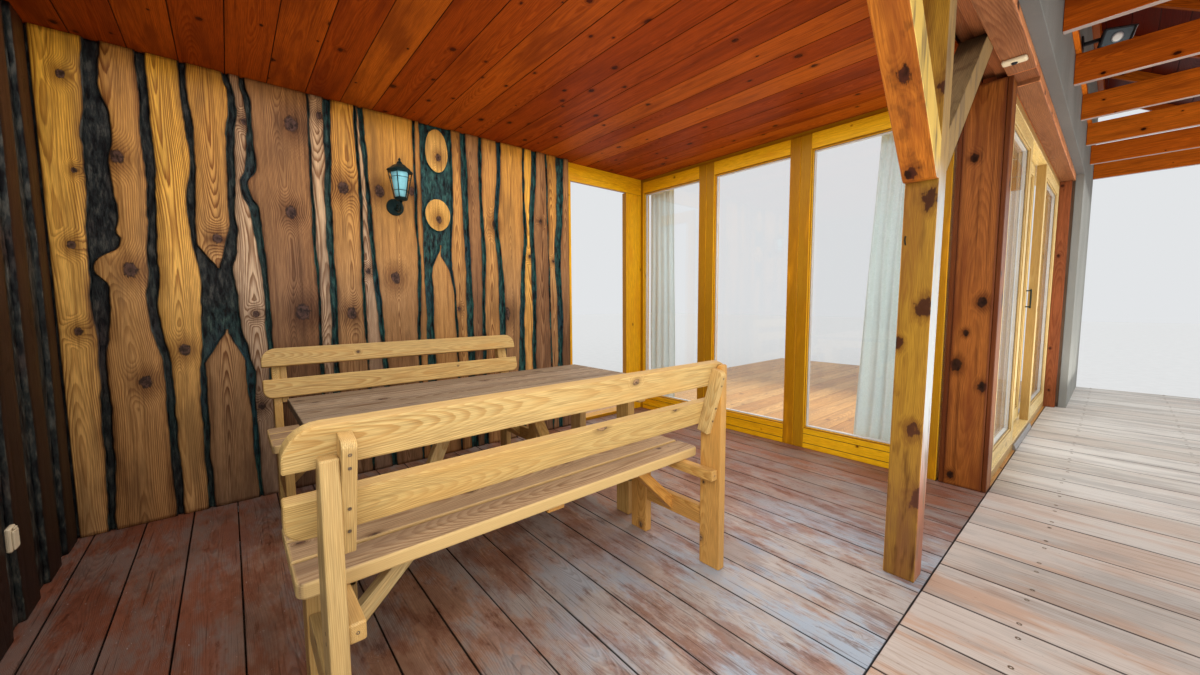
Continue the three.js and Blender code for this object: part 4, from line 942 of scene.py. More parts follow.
def back_wall():
    wall = Piece("live_edge_planks", [PLANK_WOOD, BARK])
    bark_sheet(wall, on_back_wall, LEFT, WALL_END[1])

    def edge(index, side):
        lobes = LOBES.get((index, side), ())
        return lambda z: (gap_edge(BARK_GAPS[index], z, side)
                          + sum(by * lobe(z, at, wide) for at, by, wide in lobes))

    def plank(near, far, low, high, tones, key, pith, edges=(True, True)):
        live_plank(wall, on_back_wall, near, far, low, high, tones, key, pith, edges)

    for i, stain in enumerate(PLANK_STAINS):
        tones = STAINS[stain]
        left = edge(i - 1, 1) if i else (lambda z: LEFT_FACE + 5)
        right = edge(i, -1) if i < len(BARK_GAPS) else (lambda z: WALL_END[1])
        pith = ((left(1200) + right(1200)) / 2) * MM
        if i == SPLIT_PLANK:
            plank(lambda z: slide_to(-28, left, z, 1339, 130), lambda z: slide_to(-28, right, z, 1339, 235),
                  1339, PLANK_TOP, tones, i, pith)
            plank(lambda z: slide_to(-5, left, z, 1000, -180), lambda z: slide_to(-5, right, z, 1000, -180),
                  PLANK_FOOT, 1000, tones, i, pith)
        elif i == FORKED_PLANK:
            plank(left, lambda z: 1089, PLANK_FOOT, PLANK_TOP, tones, i, pith)
            plank(lambda z: min(1207, 1145 + 62 * bump(z, 1560, 110)),
                  lambda z: max(1209, gap_edge(BARK_GAPS[FORKED_PLANK], z, -1) - 92 * bump(z, 1560, 150)),
                  PLANK_FOOT, 1560, STAINS["amber"], 30, 0.0)
            disc(wall, (1205, 2225), 80, 150, STAINS["gold"], 31)
            disc(wall, (1200, 1775), 88, 112, STAINS["gold"], 32)
        else:
            plank(left, right, PLANK_FOOT, PLANK_TOP, tones, i, pith, (i > 0, i < len(BARK_GAPS)))
    wall.make("varnished_pine", "back_wall_planks")
    core = Piece("back_wall_lining", [PANEL_WOOD])
    for a, b in pairs(joints(*LINING, LEFT, WALL_END[0])):
        board(core, (a + 1, b - 1), (3265.5, WALL_REAR), (0, CEILING - 0.5), "z")
    core.make("red_pine", "back_wall_core")


def left_wall():
    wall = Piece("left_wall_boards", [SIDE_WOOD, BARK])
    top = PLANK_FACE + 25
    bark_sheet(wall, on_left_wall, 470, top)
    right = 3215
    while right > 570:
        sway = lambda z, r=right: 10 * math.sin(z / 330 + r)
        swell = lambda z, r=right: 12 * math.sin(z / 510 + r * 2)
        near = lambda z, r=right: max(471, r - 145 + sway(z, r) - swell(z, r))
        far = lambda z, r=right: min(PLANK_FACE - 7, r + sway(z, r))
        live_plank(wall, on_left_wall, near, far, PLANK_FOOT, PLANK_TOP, SIDE_STAIN, right, (right - 70) * MM)
        right -= 280
    wall.make("brown_pine", "left_wall_planks")
    core = Piece("left_wall_lining", [PANEL_WOOD])
    for a, b in pairs(joints(*LINING, 470, top)):
        board(core, (LEFT, LEFT_FACE - 45.5), (a + 1, b - 1), (0, CEILING - 0.5), "z")
    core.make("red_pine", "left_wall_core")


# Doorway, glazed wall and side set

def upright(piece, across, deep, s, z, along, **how):
    """A board in an upright plane: along names its grain, "z" or "s" for sideways."""
    if across == "x":
        board(piece, deep, s, z, "y" if along == "s" else "z", **how)
    else:
        board(piece, s, deep, z, "x" if along == "s" else "z", **how)


def border(piece, across, deep, wide, high, size, **how):
    """Four strips just inside the edge of an opening."""
    (s0, s1), (z0, z1) = wide, high
    for s, z, along in ((wide, (z0, z0 + size), "s"), (wide, (z1 - size, z1), "s"),
                        ((s0, s0 + size), (z0 + size, z1 - size), "z"),
                        ((s1 - size, s1), (z0 + size, z1 - size), "z")):
        upright(piece, across, deep, s, z, along, **how)


def framed(piece, across, deep, wide, high, hole, hole_high, gap=0.2):
    """Two stiles and two rails round an opening."""
    rail = (hole[0] + gap, hole[1] - gap)
    for s, z, along in (((wide[0], hole[0]), high, "z"), ((hole[1], wide[1]), high, "z"),
                        (rail, (high[0], hole_high[0]), "s"), (rail, (hole_high[1], high[1]), "s")):
        upright(piece, across, deep, s, z, along, round_by=4)


def glazing(name, node, body, x, y, z, across, glass=GLASS):
    """A sealed glazing unit with a pale spacer and a dark seal round its edge."""
    unit = Piece(name, [glass, SPACER, SEAL])
    board(unit, x, y, z, "z", 0.5, tone=0.5)
    (low, high), (s0, s1) = (x, y) if across == "x" else (y, x)
    for inner, deep, slot in ((0.6, 8, 2), (8.2, 9, 1)):
        border(unit, across, (low + 1.2, high - 1.2), (s0 + inner, s1 - inner), (z[0] + inner, z[1] - inner),
               deep, round_by=0.8, tone=0.5, slot=slot)
    unit.make("pane_glass", node, body=body)


def beads(piece, across, span, wide, high, core, size=13):
    """Glazing beads round an opening, on both sides of the glass."""
    middle = (span[0] + span[1]) / 2
    for deep in ((span[0] + 2, middle - core / 2 - 0.5), (middle + core / 2 + 0.5, span[1] - 2)):
        border(piece, across, deep, wide, high, size)


JAMB = (3276, 3290.5)
REBATE = (3290.8, 3334)
JAMB_SIDES = (2375.3, 3350.5)


def doorway():
    jamb = Piece("doorway_jambs", [GOLD_WOOD, SILVER])
    board(jamb, (2310, 2374.7), (3287, 3334), (0, 2400), "z", 4)
    board(jamb, (JAMB_SIDES[0], 2440), JAMB, (0, 2239.7), "z")
    board(jamb, (JAMB_SIDES[0], 2388), REBATE, (0, 2247.7), "z", 2)
    board(jamb, (3136, JAMB_SIDES[1]), (JAMB[0], REBATE[1]), (0, 2239.7), "z", 4)
    board(jamb, JAMB_SIDES, JAMB, (2240, CEILING), "x")
    board(jamb, JAMB_SIDES, REBATE, (2248, CEILING), "x")
    board(jamb, (2384, 3140), (3246, 3374.5), (0, 31), "x", 5)
    for z in HINGES:
        lathe(jamb, [(5, -42.3), (8, -41.3), (8, -1.3), (5, -0.3)], (*HINGE_AXIS, z), "z", 16, 1)
        board(jamb, (2358, 2379), (3334.2, 3337), (z - 42, z - 1), "z", 1, slot=1)
    jamb.make("gold_pine", "doorway_frame")


HINGES = (330, 1150, 1960)
HINGE_AXIS = (2380, 3344)
LEAF = ((2389, 2432), (3357, 4094), (40, 2244))


def entry_door():
    leaf = Piece("entry_door_rails", [GOLD_WOOD, SILVER])
    (x0, x1), (y0, y1), (z0, z1) = LEAF
    hole, high = (y0 + 110, y1 - 110), (z0 + 240, z1 - 120)
    framed(leaf, "x", LEAF[0], LEAF[1], LEAF[2], hole, high)
    beads(leaf, "x", (x0 + 2, x1 - 2), hole, high, 24)
    for z in HINGES:
        lathe(leaf, [(5, 0), (8, 1), (8, 41), (5, 42)], (*HINGE_AXIS, z), "z", 16, 1)
        board(leaf, (2381, 2389), (3345, 3368), (z, z + 42), "z", 1, slot=1)
    leaf.make("gold_pine", "entry_door_leaf", body="entry_door")
    glazing("entry_door_glass", "entry_door_pane", "entry_door", (2398.5, 2422.5), hole, high, "x")
    lever = Piece("entry_door_lever", [SILVER])
    y, z = y1 - 56, 1052
    lathe(lever, [(6, -30), (9, -7), (16, -5), (16, 0)], (x0 - 0.4, y, z), "x", 20)
    tube(lever, [(x0 - out, y - by, z) for out, by in ((28, 0), (38, 4), (42, 19), (42, 64), (40, 104))], 8, 12)
    lever.make("silver_metal", "entry_door_handle", body="entry_door")


MULLIONS = (1604, 2457)
PANES = (("glazed_pane_1", 2537, 3245), ("glazed_pane_2", 1684, 2377), ("glazed_pane_3", 770, 1524))
PANE_HIGH = (155, 2256)
WALL_SIDES, WALL_HEAD = (680, 3334), 2369.5
GLASS_X, BEAD_X = (3386, 3410), (3364, 3432)


def glazed_wall():
    wall = Piece("glazed_wall_members", [GOLD_WOOD, SEAL])
    x = (GLAZED_FACE, GLAZED_REAR)
    for (_, a, b), (low, high) in zip(PANES, reversed(pairs((WALL_SIDES[0], *MULLIONS, WALL_SIDES[1])))):
        framed(wall, "x", x, (low + 0.8, high - 0.8), (0, WALL_HEAD), (a, b), PANE_HIGH, 0.3)
        beads(wall, "x", BEAD_X, (a, b), PANE_HIGH, 24, 8)
        for z in (40, 112):
            board(wall, (GLAZED_FACE - 0.6, GLAZED_FACE + 1), (a + 2, b - 2), (z, z + 4), "y", 0.5, slot=1)
    board(wall, (GLAZED_FACE + 12, GLAZED_REAR), WALL_SIDES, (2370, 2399.5), "y", 2)
    wall.make("gold_pine", "glazed_wall_frame")
    for node, a, b in PANES:
        glazing(node.replace("pane", "unit"), node, "section", GLASS_X, (a, b), PANE_HIGH, "x")


SASH_SIDE, SASH_FOOT, SASH_HEAD = 90, 110, 90


def sash(piece, x0, x1, y, z0, z1):
    hole, high = (x0 + SASH_SIDE, x1 - SASH_SIDE), (z0 + SASH_FOOT, z1 - SASH_HEAD)
    framed(piece, "y", y, (x0, x1), (z0, z1), hole, high)
    beads(piece, "y", (y[0] + 5, y[1] - 5), hole, high, 24)


SIDE_DEEP, SIDE_X, SIDE_HEAD = (452, 610), (3560, 6590), 2340
SIDE_LIGHTS = (("side_light_near", 3560, 4480), ("side_light_far", 5400, 6590))
SIDE_DOOR, TRACK, GRIP_X = (4450, 5430), (525, 585), 5366


def side_set():
    frame_piece = Piece("side_set_members", [SIDE_GOLD, SILVER])
    board(frame_piece, (3500, SIDE_X[0]), SIDE_DEEP, (0, SIDE_HEAD), "z", 4)
    board(frame_piece, (SIDE_X[1], JAMB_END), SIDE_DEEP, (0, SIDE_HEAD), "z", 4)
    board(frame_piece, (3560.3, 6589.7), SIDE_DEEP, (0, 60), "x", 5)
    board(frame_piece, (3560.3, 6589.7), SIDE_DEEP, (2290, SIDE_HEAD), "x", 4)
    board(frame_piece, SIDE_X, (545, 565), (59, 68), "x", 2, slot=1)
    frame_piece.make("gold_pine", "side_set_frame")
    for name, x0, x1 in SIDE_LIGHTS:
        light_piece = Piece(name + "_sash", [SIDE_GOLD])
        sash(light_piece, x0 + 0.5, x1 - 0.5, (455, 515), 60.3, 2289.7)
        light_piece.make("gold_pine", name)
        glazing(name + "_unit", name + "_pane", "section", (x0 + SASH_SIDE, x1 - SASH_SIDE), (473, 497),
                (170, 2200),
                "y", SIDE_GLASS)
    leaf = Piece("side_door_sash", [SIDE_GOLD, SILVER])
    sash(leaf, *SIDE_DOOR, TRACK, 75, 2282)
    for x in (4570, 5270):
        lathe(leaf, [(5, -8), (7, -7), (7, 7), (5, 8)], (x + 20, 555, 75.5), "y", 16, 1)
    leaf.make("gold_pine", "side_door_leaf", body="side_door")
    glazing("side_door_unit", "side_door_leaf_pane", "side_door", (4540, 5340), (543, 567), (185, 2192), "y",
            SIDE_GLASS)
    grip = Piece("side_door_pull", [DARK_METAL])
    bend = ((524.6, 1075), (506, 1075), (495, 1070), (493, 1062), (492, 1145), (493, 1228), (495, 1220),
            (506, 1215),
            (524.6, 1215))
    tube(grip, [(GRIP_X, y, z) for y, z in bend], 5.5)
    grip.make("dark_metal", "side_door_handle", body="side_door")
    sill = Piece("side_sill_strip", [SILVER])
    outline = [(431.5, 0.5), (451.5, 0.5), (451.5, 41.5), (443.5, 41.5), (440, 38), (431.5, 12)]
    slab(sill, outline, 919, Vector((4480.5, 0, 0)), UNIT[1], UNIT[2], round_by=1)
    sill.make("silver_metal", "side_threshold")
    jamb = Piece("far_jamb_board", [PANEL_WOOD])
    board(jamb, (SIDE_X[1], JAMB_END), (363, SIDE_DEEP[0]), (0, SIDE_HEAD), "z", 4)
    jamb.make("red_pine", "far_jamb")


# Post, braces, beam, ceiling and upper floor

def softened(outline, by):
    """The outline with each corner cut off."""
    cut = []
    for i, corner in enumerate(outline):
        here = Vector(corner)
        for other in (Vector(outline[i - 1]), Vector(outline[(i + 1) % len(outline)])):
            way = other - here
            cut.append(tuple(here + way.normalized() * min(by, way.length * 0.3)))
    return cut


def leaning(piece, outline, y0, y1, way, round_by=5):
    """A timber drawn in x and z whose grain follows a slanting line."""
    q = Vector((way[0], 0, way[1])).normalized()
    p = UNIT[1].cross(q)
    turned = [(Vector((x, 0, z)).dot(p), Vector((x, 0, z)).dot(q)) for x, z in outline]
    w = p.cross(q)
    origin = Vector((0, y1, 0)) if w.y < 0 else Vector((0, y0, 0))
    slab(piece, softened(turned, round_by), y1 - y0, origin, p, q, along=1, round_by=round_by)


def post_line(z, foot, top):
    return foot + (top - foot) * z / CEILING


POST_FOOT, POST_HEAD, POST_DEEP = (2045, 2141), (2115, 2215), (465, 577)
HOOKS = (1630, 1378)


def post_and_braces():
    y0, y1 = POST_DEEP
    left = lambda z: post_line(z, POST_FOOT[0], POST_HEAD[0])
    right = lambda z: post_line(z, POST_FOOT[1], POST_HEAD[1])
    post = Piece("porch_post_timber", [POST_WOOD, DARK_METAL])
    leaning(post, [(POST_FOOT[0], 0), (POST_FOOT[1], 0), (POST_HEAD[1], CEILING), (POST_HEAD[0], CEILING)],
            y0, y1, (70, CEILING))
    for z in HOOKS:
        bend = ((3, -20), (-4, -12), (-9, 0), (-6, 12), (3, 16))
        tube(post, [(left(z) + out, y1 - 14, z + up) for out, up in bend], 2.6, 8, 1)
    post.make("brown_pine", "porch_post")
    brace = Piece("left_brace_timber", [BRACE_WOOD])
    leaning(brace, [(2058, 1600), (left(1600) - 0.4, 1600), (left(1752) - 0.4, 1752), (1523, CEILING),
                    (1349, CEILING)], y0, y1, (-620, 720))
    brace.make("brown_pine", "brace_left")
    brace = Piece("right_brace_timber", [RIGHT_BRACE_WOOD])
    leaning(brace, [(right(1642) + 0.4, 1642), (2968, CEILING), (2816, CEILING), (right(1808) + 0.4, 1808)],
            y0, y1, (750, 700))
    brace.make("bench_pine", "brace_right")


def beam_and_corner():
    beam = Piece("porch_beam_timber", [BROWN_WOOD])
    board(beam, (LEFT, 3344.5), (345, 464), (2365, 2560), "x", 6)
    board(beam, (3345, 3490), (345, 464), (2365, 2560), "x", 6)
    board(beam, (3490, JAMB_END), (345, 452), (2340, 2560), "x", 6)
    board(beam, (3490, JAMB_END), (453, 610), (2340, 2560), "x", 4)
    beam.make("brown_pine", "porch_beam")
    corner = Piece("corner_post_boards", [CORNER_WOOD])
    board(corner, (3345, 3490), (460, 641), (0, 2365), "z", 5)
    board(corner, (3352, 3490), (437, 459.6), (0, 2365), "z", 4)
    board(corner, (3352, 3490), (641.4, 667), (0, 2365), "z", 4)
    corner.make("brown_pine", "corner_post")


CEILING_JOISTS = (1150, 1720, 2290, 2860, 3315)
CEILING_SPACE = (2418.5, 2559.5)


def ceiling():
    boards = Piece("ceiling_lining", [CEILING_WOOD])
    for a, b in pairs(joints(60, 183, LEFT, GLAZED_REAR)):
        board(boards, (a + 0.4, b - 0.4), (581, WALL_REAR), (CEILING, 2418), "y")
    boards.make("varnished_pine", "ceiling_boards")
    joist = Piece("ceiling_joists", [BROWN_WOOD])
    board(joist, (LEFT, GLAZED_REAR), (465, 520), (2400, 2560), "x", 4)
    for y in (521, *CEILING_JOISTS):
        wide = 59 if y == 521 else 60
        board(joist, (LEFT, GLAZED_REAR), (y, y + wide), CEILING_SPACE, "x")
    for x in (LEFT, GLAZED_REAR - 60):
        for a, b in pairs((580, *CEILING_JOISTS)):
            board(joist, (x, x + 60), (a + 60.5 if a > 600 else a + 0.5, b - 0.5), CEILING_SPACE, "y")
    joist.make("brown_pine", "ceiling_frame")
    upper = Piece("upper_floor_boards", [RAW_WOOD])
    for a, b in pairs(joints(345, 200, 345, WALL_REAR)):
        board(upper, (LEFT, GLAZED_REAR), (a + 0.5, b - 0.5), (2560, 2585), "x", 2)
    upper.make("floor_pine", "upper_floor")


def upper_wall():
    wall = Piece("render_skin", [RENDER])
    outline = [(LEFT, 2400), (JAMB_END, 2400), (JAMB_END, 0), (RIGHT, 0), (RIGHT, WALL_TOP), (LEFT, WALL_TOP)]
    slab(wall, outline, 60, Vector((0, 345, 0)), UNIT[0], UNIT[2], round_by=3)
    wall.make("render", "rendered_wall")
    studs = Piece("stud_timbers", [RAW_WOOD])
    y = (345.5, 445)
    for x in spread(LEFT, GLAZED_REAR - 45, 6) + spread(GLAZED_REAR, JAMB_END - 45, 5)[1:]:
        board(studs, (x, x + 45), y, (2630.5, 3714.5), "z", 2)
    for x in spread(JAMB_END, RIGHT - 45, 4):
        for z in ((45.5, 2559.5), (2630.5, 3714.5)):
            board(studs, (x, x + 45), y, z, "z", 2)
    for x0, x1, z0, z1 in ((LEFT, RIGHT, 3715, WALL_TOP - 0.5), (LEFT, GLAZED_REAR, 2585.5, 2630),
                           (GLAZED_REAR + 0.5, RIGHT, 2560.5, 2630), (JAMB_END, RIGHT, 0.5, 45)):
        board(studs, (x0, x1), y, (z0, z1), "x", 2)
    studs.make("floor_pine", "wall_studs")


EAVE = (-1010, 2870)
LEDGER_TOP = 3680
WALL_FACE = 285
SLOPE = math.atan2(LEDGER_TOP - EAVE[1], WALL_FACE - EAVE[0])
ROOF_FROM, ROOF_TO, TIE_PITCH, TIE_THICK = -93, 8322, 930, 45
OUTER_POSTS = (150, 4050, 7950)


def walkway_roof():
    timber = Piece("roof_timbers", [RAFTER_WOOD])
    x = ROOF_FROM
    up = Vector((0, math.cos(SLOPE), math.sin(SLOPE)))
    rise = Vector((0, -math.sin(SLOPE), math.cos(SLOPE)))
    deep = 110 * math.cos(SLOPE)
    length = (WALL_FACE - EAVE[0]) / math.cos(SLOPE)
    while x < RIGHT - 60:
        board(timber, (x, x + TIE_THICK), (EAVE[0] + 60, WALL_FACE - 0.5), (2620, 2820), "y", 4)
        foot = Vector((x, EAVE[0], EAVE[1])) - rise * deep
        slant = math.tan(SLOPE) * deep
        outline = [(slant * 0.2, 0), (length - slant * 0.5, 0), (length - slant * 0.05, deep),
                   (slant * 0.95, deep)]
        slab(timber, softened(outline, 4), TIE_THICK, foot, up, rise, round_by=4)
        x += TIE_PITCH
    board(timber, (ROOF_FROM, ROOF_TO), (WALL_FACE - 45, WALL_FACE - 0.5), (3530, 3654), "x", 4)
    board(timber, (ROOF_FROM, ROOF_TO), (WALL_FACE - 30, WALL_FACE - 0.5), (2821, 2850), "x")
    board(timber, (ROOF_FROM, ROOF_TO), (-850, -730), (2420.5, 2619.5), "x", 6)
    timber.make("varnished_pine", "walkway_roof_frame")
    boards = Piece("roof_boards", [ROOF_WOOD])
    base_point = Vector((0, EAVE[0], EAVE[1] + 0.5))
    for a, b in pairs(joints(0, 180, 0, length - 20)):
        corners = eased(ROOF_FROM, ROOF_TO, a + 1.5, b - 1.5, 3)
        slab(boards, corners, 22, base_point, UNIT[0], up, round_by=3)
    boards.make("red_pine", "walkway_roof_boards")
    for node, x in zip(("outer_post_1", "outer_post_2", "outer_post_3"), OUTER_POSTS):
        post = Piece(node + "_timber", [BROWN_WOOD])
        board(post, (x - 55, x + 55), (-845, -735), (0, 2420), "z", 6)
        post.make("brown_pine", node)


# Lamps, fittings and curtains

def lantern():
    x, y = 908, 3080
    body = Piece("lantern_metal", [DARK_METAL])
    lathe(body, [(12, -15), (30, -14), (34, -11), (50, -9), (56, -5), (56, -0.4), (30, -0.4)],
          (x, PLANK_FACE, 1790), "y", 28)
    tube(body, [(x, 3208, 1780), (x, 3180, 1762), (x, 3150, 1750), (x, 3115, 1750), (x, 3092, 1764),
                (x, y, 1785), (x, y, 1814)], 8, 12)
    tube(body, [(x, 3190, 1768), (x, 3180, 1792), (x, 3160, 1800), (x, 3148, 1788), (x, 3156, 1774)], 4, 8)
    lathe(body, [(12, 1808), (34, 1812), (44, 1824), (44, 1829), (36, 1829.8)], (x, y, 0), "z", 6)
    lathe(body, [(76, 1990), (81, 1992), (82, 2000), (62, 2014), (40, 2034), (22, 2042), (18, 2047), (16, 2056),
                 (9, 2060), (6, 2068), (9, 2073), (5, 2080), (1, 2085)], (x, y, 0), "z", 6)
    for k in range(6):
        turn = math.tau * k / 6
        way = Vector((math.cos(turn), math.sin(turn), 0))
        tube(body, [Vector((x, y, 1826)) + way * 40, Vector((x, y, 1992)) + way * 74], 3.4, 6)
    for z, r in ((1872, 50), (1954, 66)):
        ring = [Vector((x + r * math.cos(t), y + r * math.sin(t), z)) for t in
                (math.tau * k / 6 for k in range(6))]
        for a, b in zip(ring, ring[1:] + ring[:1]):
            tube(body, [a, b], 1.8, 6)
    body.make("dark_metal", "lantern_body")
    glass = Piece("lantern_panes", [LAMP_GLASS, LAMP])
    lathe(glass, [(31, 1830.4), (36, 1832), (56, 1984), (54, 1989.4)], (x, y, 0), "z", 6)
    glass.make("pane_glass", "lantern_glass")


def fittings():
    socket = Piece("socket_cover", [CREAM])
    board(socket, (LEFT_FACE + 0.5, LEFT_FACE + 15), (2384, 2438), (300, 385), "y", 5)
    board(socket, (LEFT_FACE + 15, LEFT_FACE + 21), (2388, 2434), (306, 372), "y", 4)
    board(socket, (LEFT_FACE + 16, LEFT_FACE + 22), (2398, 2422), (376, 382), "y", 1.5)
    socket.make("cream_plastic", "wall_socket")
    sensor = Piece("sensor_body", [CREAM, BLACK])
    board(sensor, (3114, 3166), (362, 460), (2346, 2364.6), "y", 7)
    lathe(sensor, [(4, -10), (9, -8), (13, -4), (14, 3)], (3140, 411, 2347), "z", 20, 1)
    sensor.make("cream_plastic", "motion_sensor")
    x, y, z = 5000, 120, 3020
    flood = Piece("floodlight_parts", [BLACK, SMOKED, SILVER, LAMP])
    board(flood, (x - 45, x + 45), (WALL_FACE - 12, WALL_FACE - 0.5), (z - 32, z + 68), "x", 4)
    board(flood, (x - 12, x + 12), (y + 30, WALL_FACE - 12), (z + 6, z + 30), "y", 4)
    ahead = Vector((-0.74, -0.42, -0.52)).normalized()
    across = UNIT[2].cross(ahead).normalized()
    turned = Matrix((across, ahead.cross(across), ahead)).transposed().to_4x4()
    flood.base = Matrix.Translation((x, y, z + 8)) @ turned
    slab(flood, eased(-66, 66, -48, 48, 12), 46, Vector((0, 0, -46)), UNIT[0], UNIT[1], round_by=12)
    slab(flood, eased(-84, 84, -64, 64, 10), 22, Vector((0, 0, 0.2)), UNIT[0], UNIT[1], round_by=6)
    slab(flood, eased(-72, 72, -52, 52, 5), 3, Vector((0, 0, 21)), UNIT[0], UNIT[1], round_by=1, slot=1)
    lathe(flood, [(27, 23), (30, 24), (33, 27), (30, 28)], (0, 0, 0), "z", 32, 2)
    lathe(flood, [(26, 27.8), (26, 28.6), (18, 29.4), (8, 29.8)], (0, 0, 0), "z", 32, 3)
    for k in range(9):
        fin = -52 + 12 * k
        board(flood, (fin, fin + 4), (-40, 40), (-60, -44), "y", 1.5)
    board(flood, (-86, 86), (60, 64), (20, 44), "x", 1.5)
    board(flood, (80, 84), (-58, 60), (20, 38), "y", 1.5, slot=2)
    flood.make("black_plastic", "floodlight_body")


RAIL = (3492, 2300)
CLOTH_THICK = 0.9
# How deep the folds are at the head, how much they gain to the foot, and the fine pleats at the head
FOLD_HEAD, FOLD_GAIN, PLEAT = 7, 17, 6
# Each curtain's sides at its head and its foot, and its number of folds
CURTAINS = (("curtain_left", (2950, 3262), (2915, 3262), 4), ("curtain_right", (782, 1112), (782, 1215), 5))


def curtains():
    rail = Piece("curtain_pole", [SILVER])
    lathe(rail, [(6, 712), (9, 714), (9, 3306), (6, 3308)], (RAIL[0], 0, RAIL[1]), "y", 16)
    for y in (740, 2030, 3290):
        board(rail, (GLAZED_REAR + 0.5, RAIL[0] - 5), (y, y + 14), (RAIL[1] - 6, RAIL[1] + 6), "x", 2)
        board(rail, (GLAZED_REAR + 0.4, GLAZED_REAR + 4), (y - 8, y + 22), (RAIL[1] - 16, RAIL[1] + 16), "z",
              1.5)
    rail.make("silver_metal", "curtain_rail")
    for name, head, foot, folds in CURTAINS:
        cloth = Piece(name + "_cloth", [CURTAIN])
        flat = hung(cloth, head, foot, 105.5, RAIL[1] - 10, folds)
        thing = cloth.make("curtain_cloth", name)


def hung(cloth, head, foot, z0, z1, folds):
    """A gathered curtain: fine pleats at the head that run into broad folds at the foot."""
    seed = len(cloth.name) + head[0] * 0.01
    rows, columns = 60, folds * 20
    aside = Vector((CLOTH_THICK / 2, 0, 0))
    front, back = [], []
    for r in range(rows + 1):
        down = 1 - r / rows
        z = z0 + (z1 - z0) * r / rows
        a = head[0] + (foot[0] - head[0]) * down
        b = head[1] + (foot[1] - head[1]) * down
        line = []
        for c in range(columns + 1):
            share = c / columns
            drift = 0.35 * noise.noise(Vector((share * 3, z / 900, seed)))
            turn = math.tau * folds * (share + 0.12 * drift)
            deep = (FOLD_HEAD + FOLD_GAIN * down) * (0.75 + 0.6 * noise.noise(Vector((share * 5, z / 1500,
                                                                                      seed + 4))))
            x = RAIL[0] + deep * math.sin(turn) + PLEAT * math.sin(2 * turn + seed) * (1 - down)
            line.append(Vector((x, a + (b - a) * share, z)))
        front.append([cloth.vertex(p - aside) for p in line])
        back.append([cloth.vertex(p + aside) for p in line])
    skin(cloth, front, 0, True)
    skin(cloth, back)
    near, far = rim(front), rim(back)
    for i in range(len(near)):
        j = (i + 1) % len(near)
        cloth.face((near[i], near[j], far[j], far[i]), 0)
    spots = [cloth.verts[i] for i in front[rows // 2]]
    width = sum((q - p).length for p, q in pairs(spots))
    area = 0.0
    for low, high in zip(front, front[1:]):
        for i in range(columns):
            p, q, s, t = (cloth.verts[k] for k in (low[i], low[i + 1], high[i + 1], high[i]))
            area += ((q - p).cross(s - p).length + (s - p).cross(t - p).length) / 2
    length = (z1 - z0) * MM
    width = max(width, area / length)
    return round(width, 3), round(length, 3), min(area, 0.9995 * round(width, 3) * round(length, 3))


# Benches and table

LEAN = math.radians(14.7)
BENCH_LENGTH = 1540
SEAT_START = 22
BACK_BOARDS = ((790, 888, 70, 6), (622, 722, 6, 45))
BACK_THICK, BATTEN_FOOT, BATTEN_HEAD, BATTEN_DEEP = 34, 600, 868, 55
SEAT_FRONT, SEAT_WIDE, SEAT_LOW, SEAT_HIGH = 174, 120, 440, 480
END_THICK, POST_WIDE = 38, 102
BENCH_LEFT, BENCH_RIGHT = 60, 1458


def back_line(z):
    return 25 - (z - 876) * math.tan(LEAN)


def arc(cx, cy, r, start, end, steps=7):
    return [(cx + r * math.cos(t), cy + r * math.sin(t))
            for t in (math.radians(start + (end - start) * k / steps) for k in range(steps + 1))]


def rounded(x0, x1, y0, y1, low, high):
    """A rectangle with one radius at its two low corners and another at its two high ones."""
    return (arc(x1 - low, y0 + low, low, -90, 0) + arc(x1 - high, y1 - high, high, 0, 90)
            + arc(x0 + high, y1 - high, high, 90, 180) + arc(x0 + low, y0 + low, low, 180, 270))


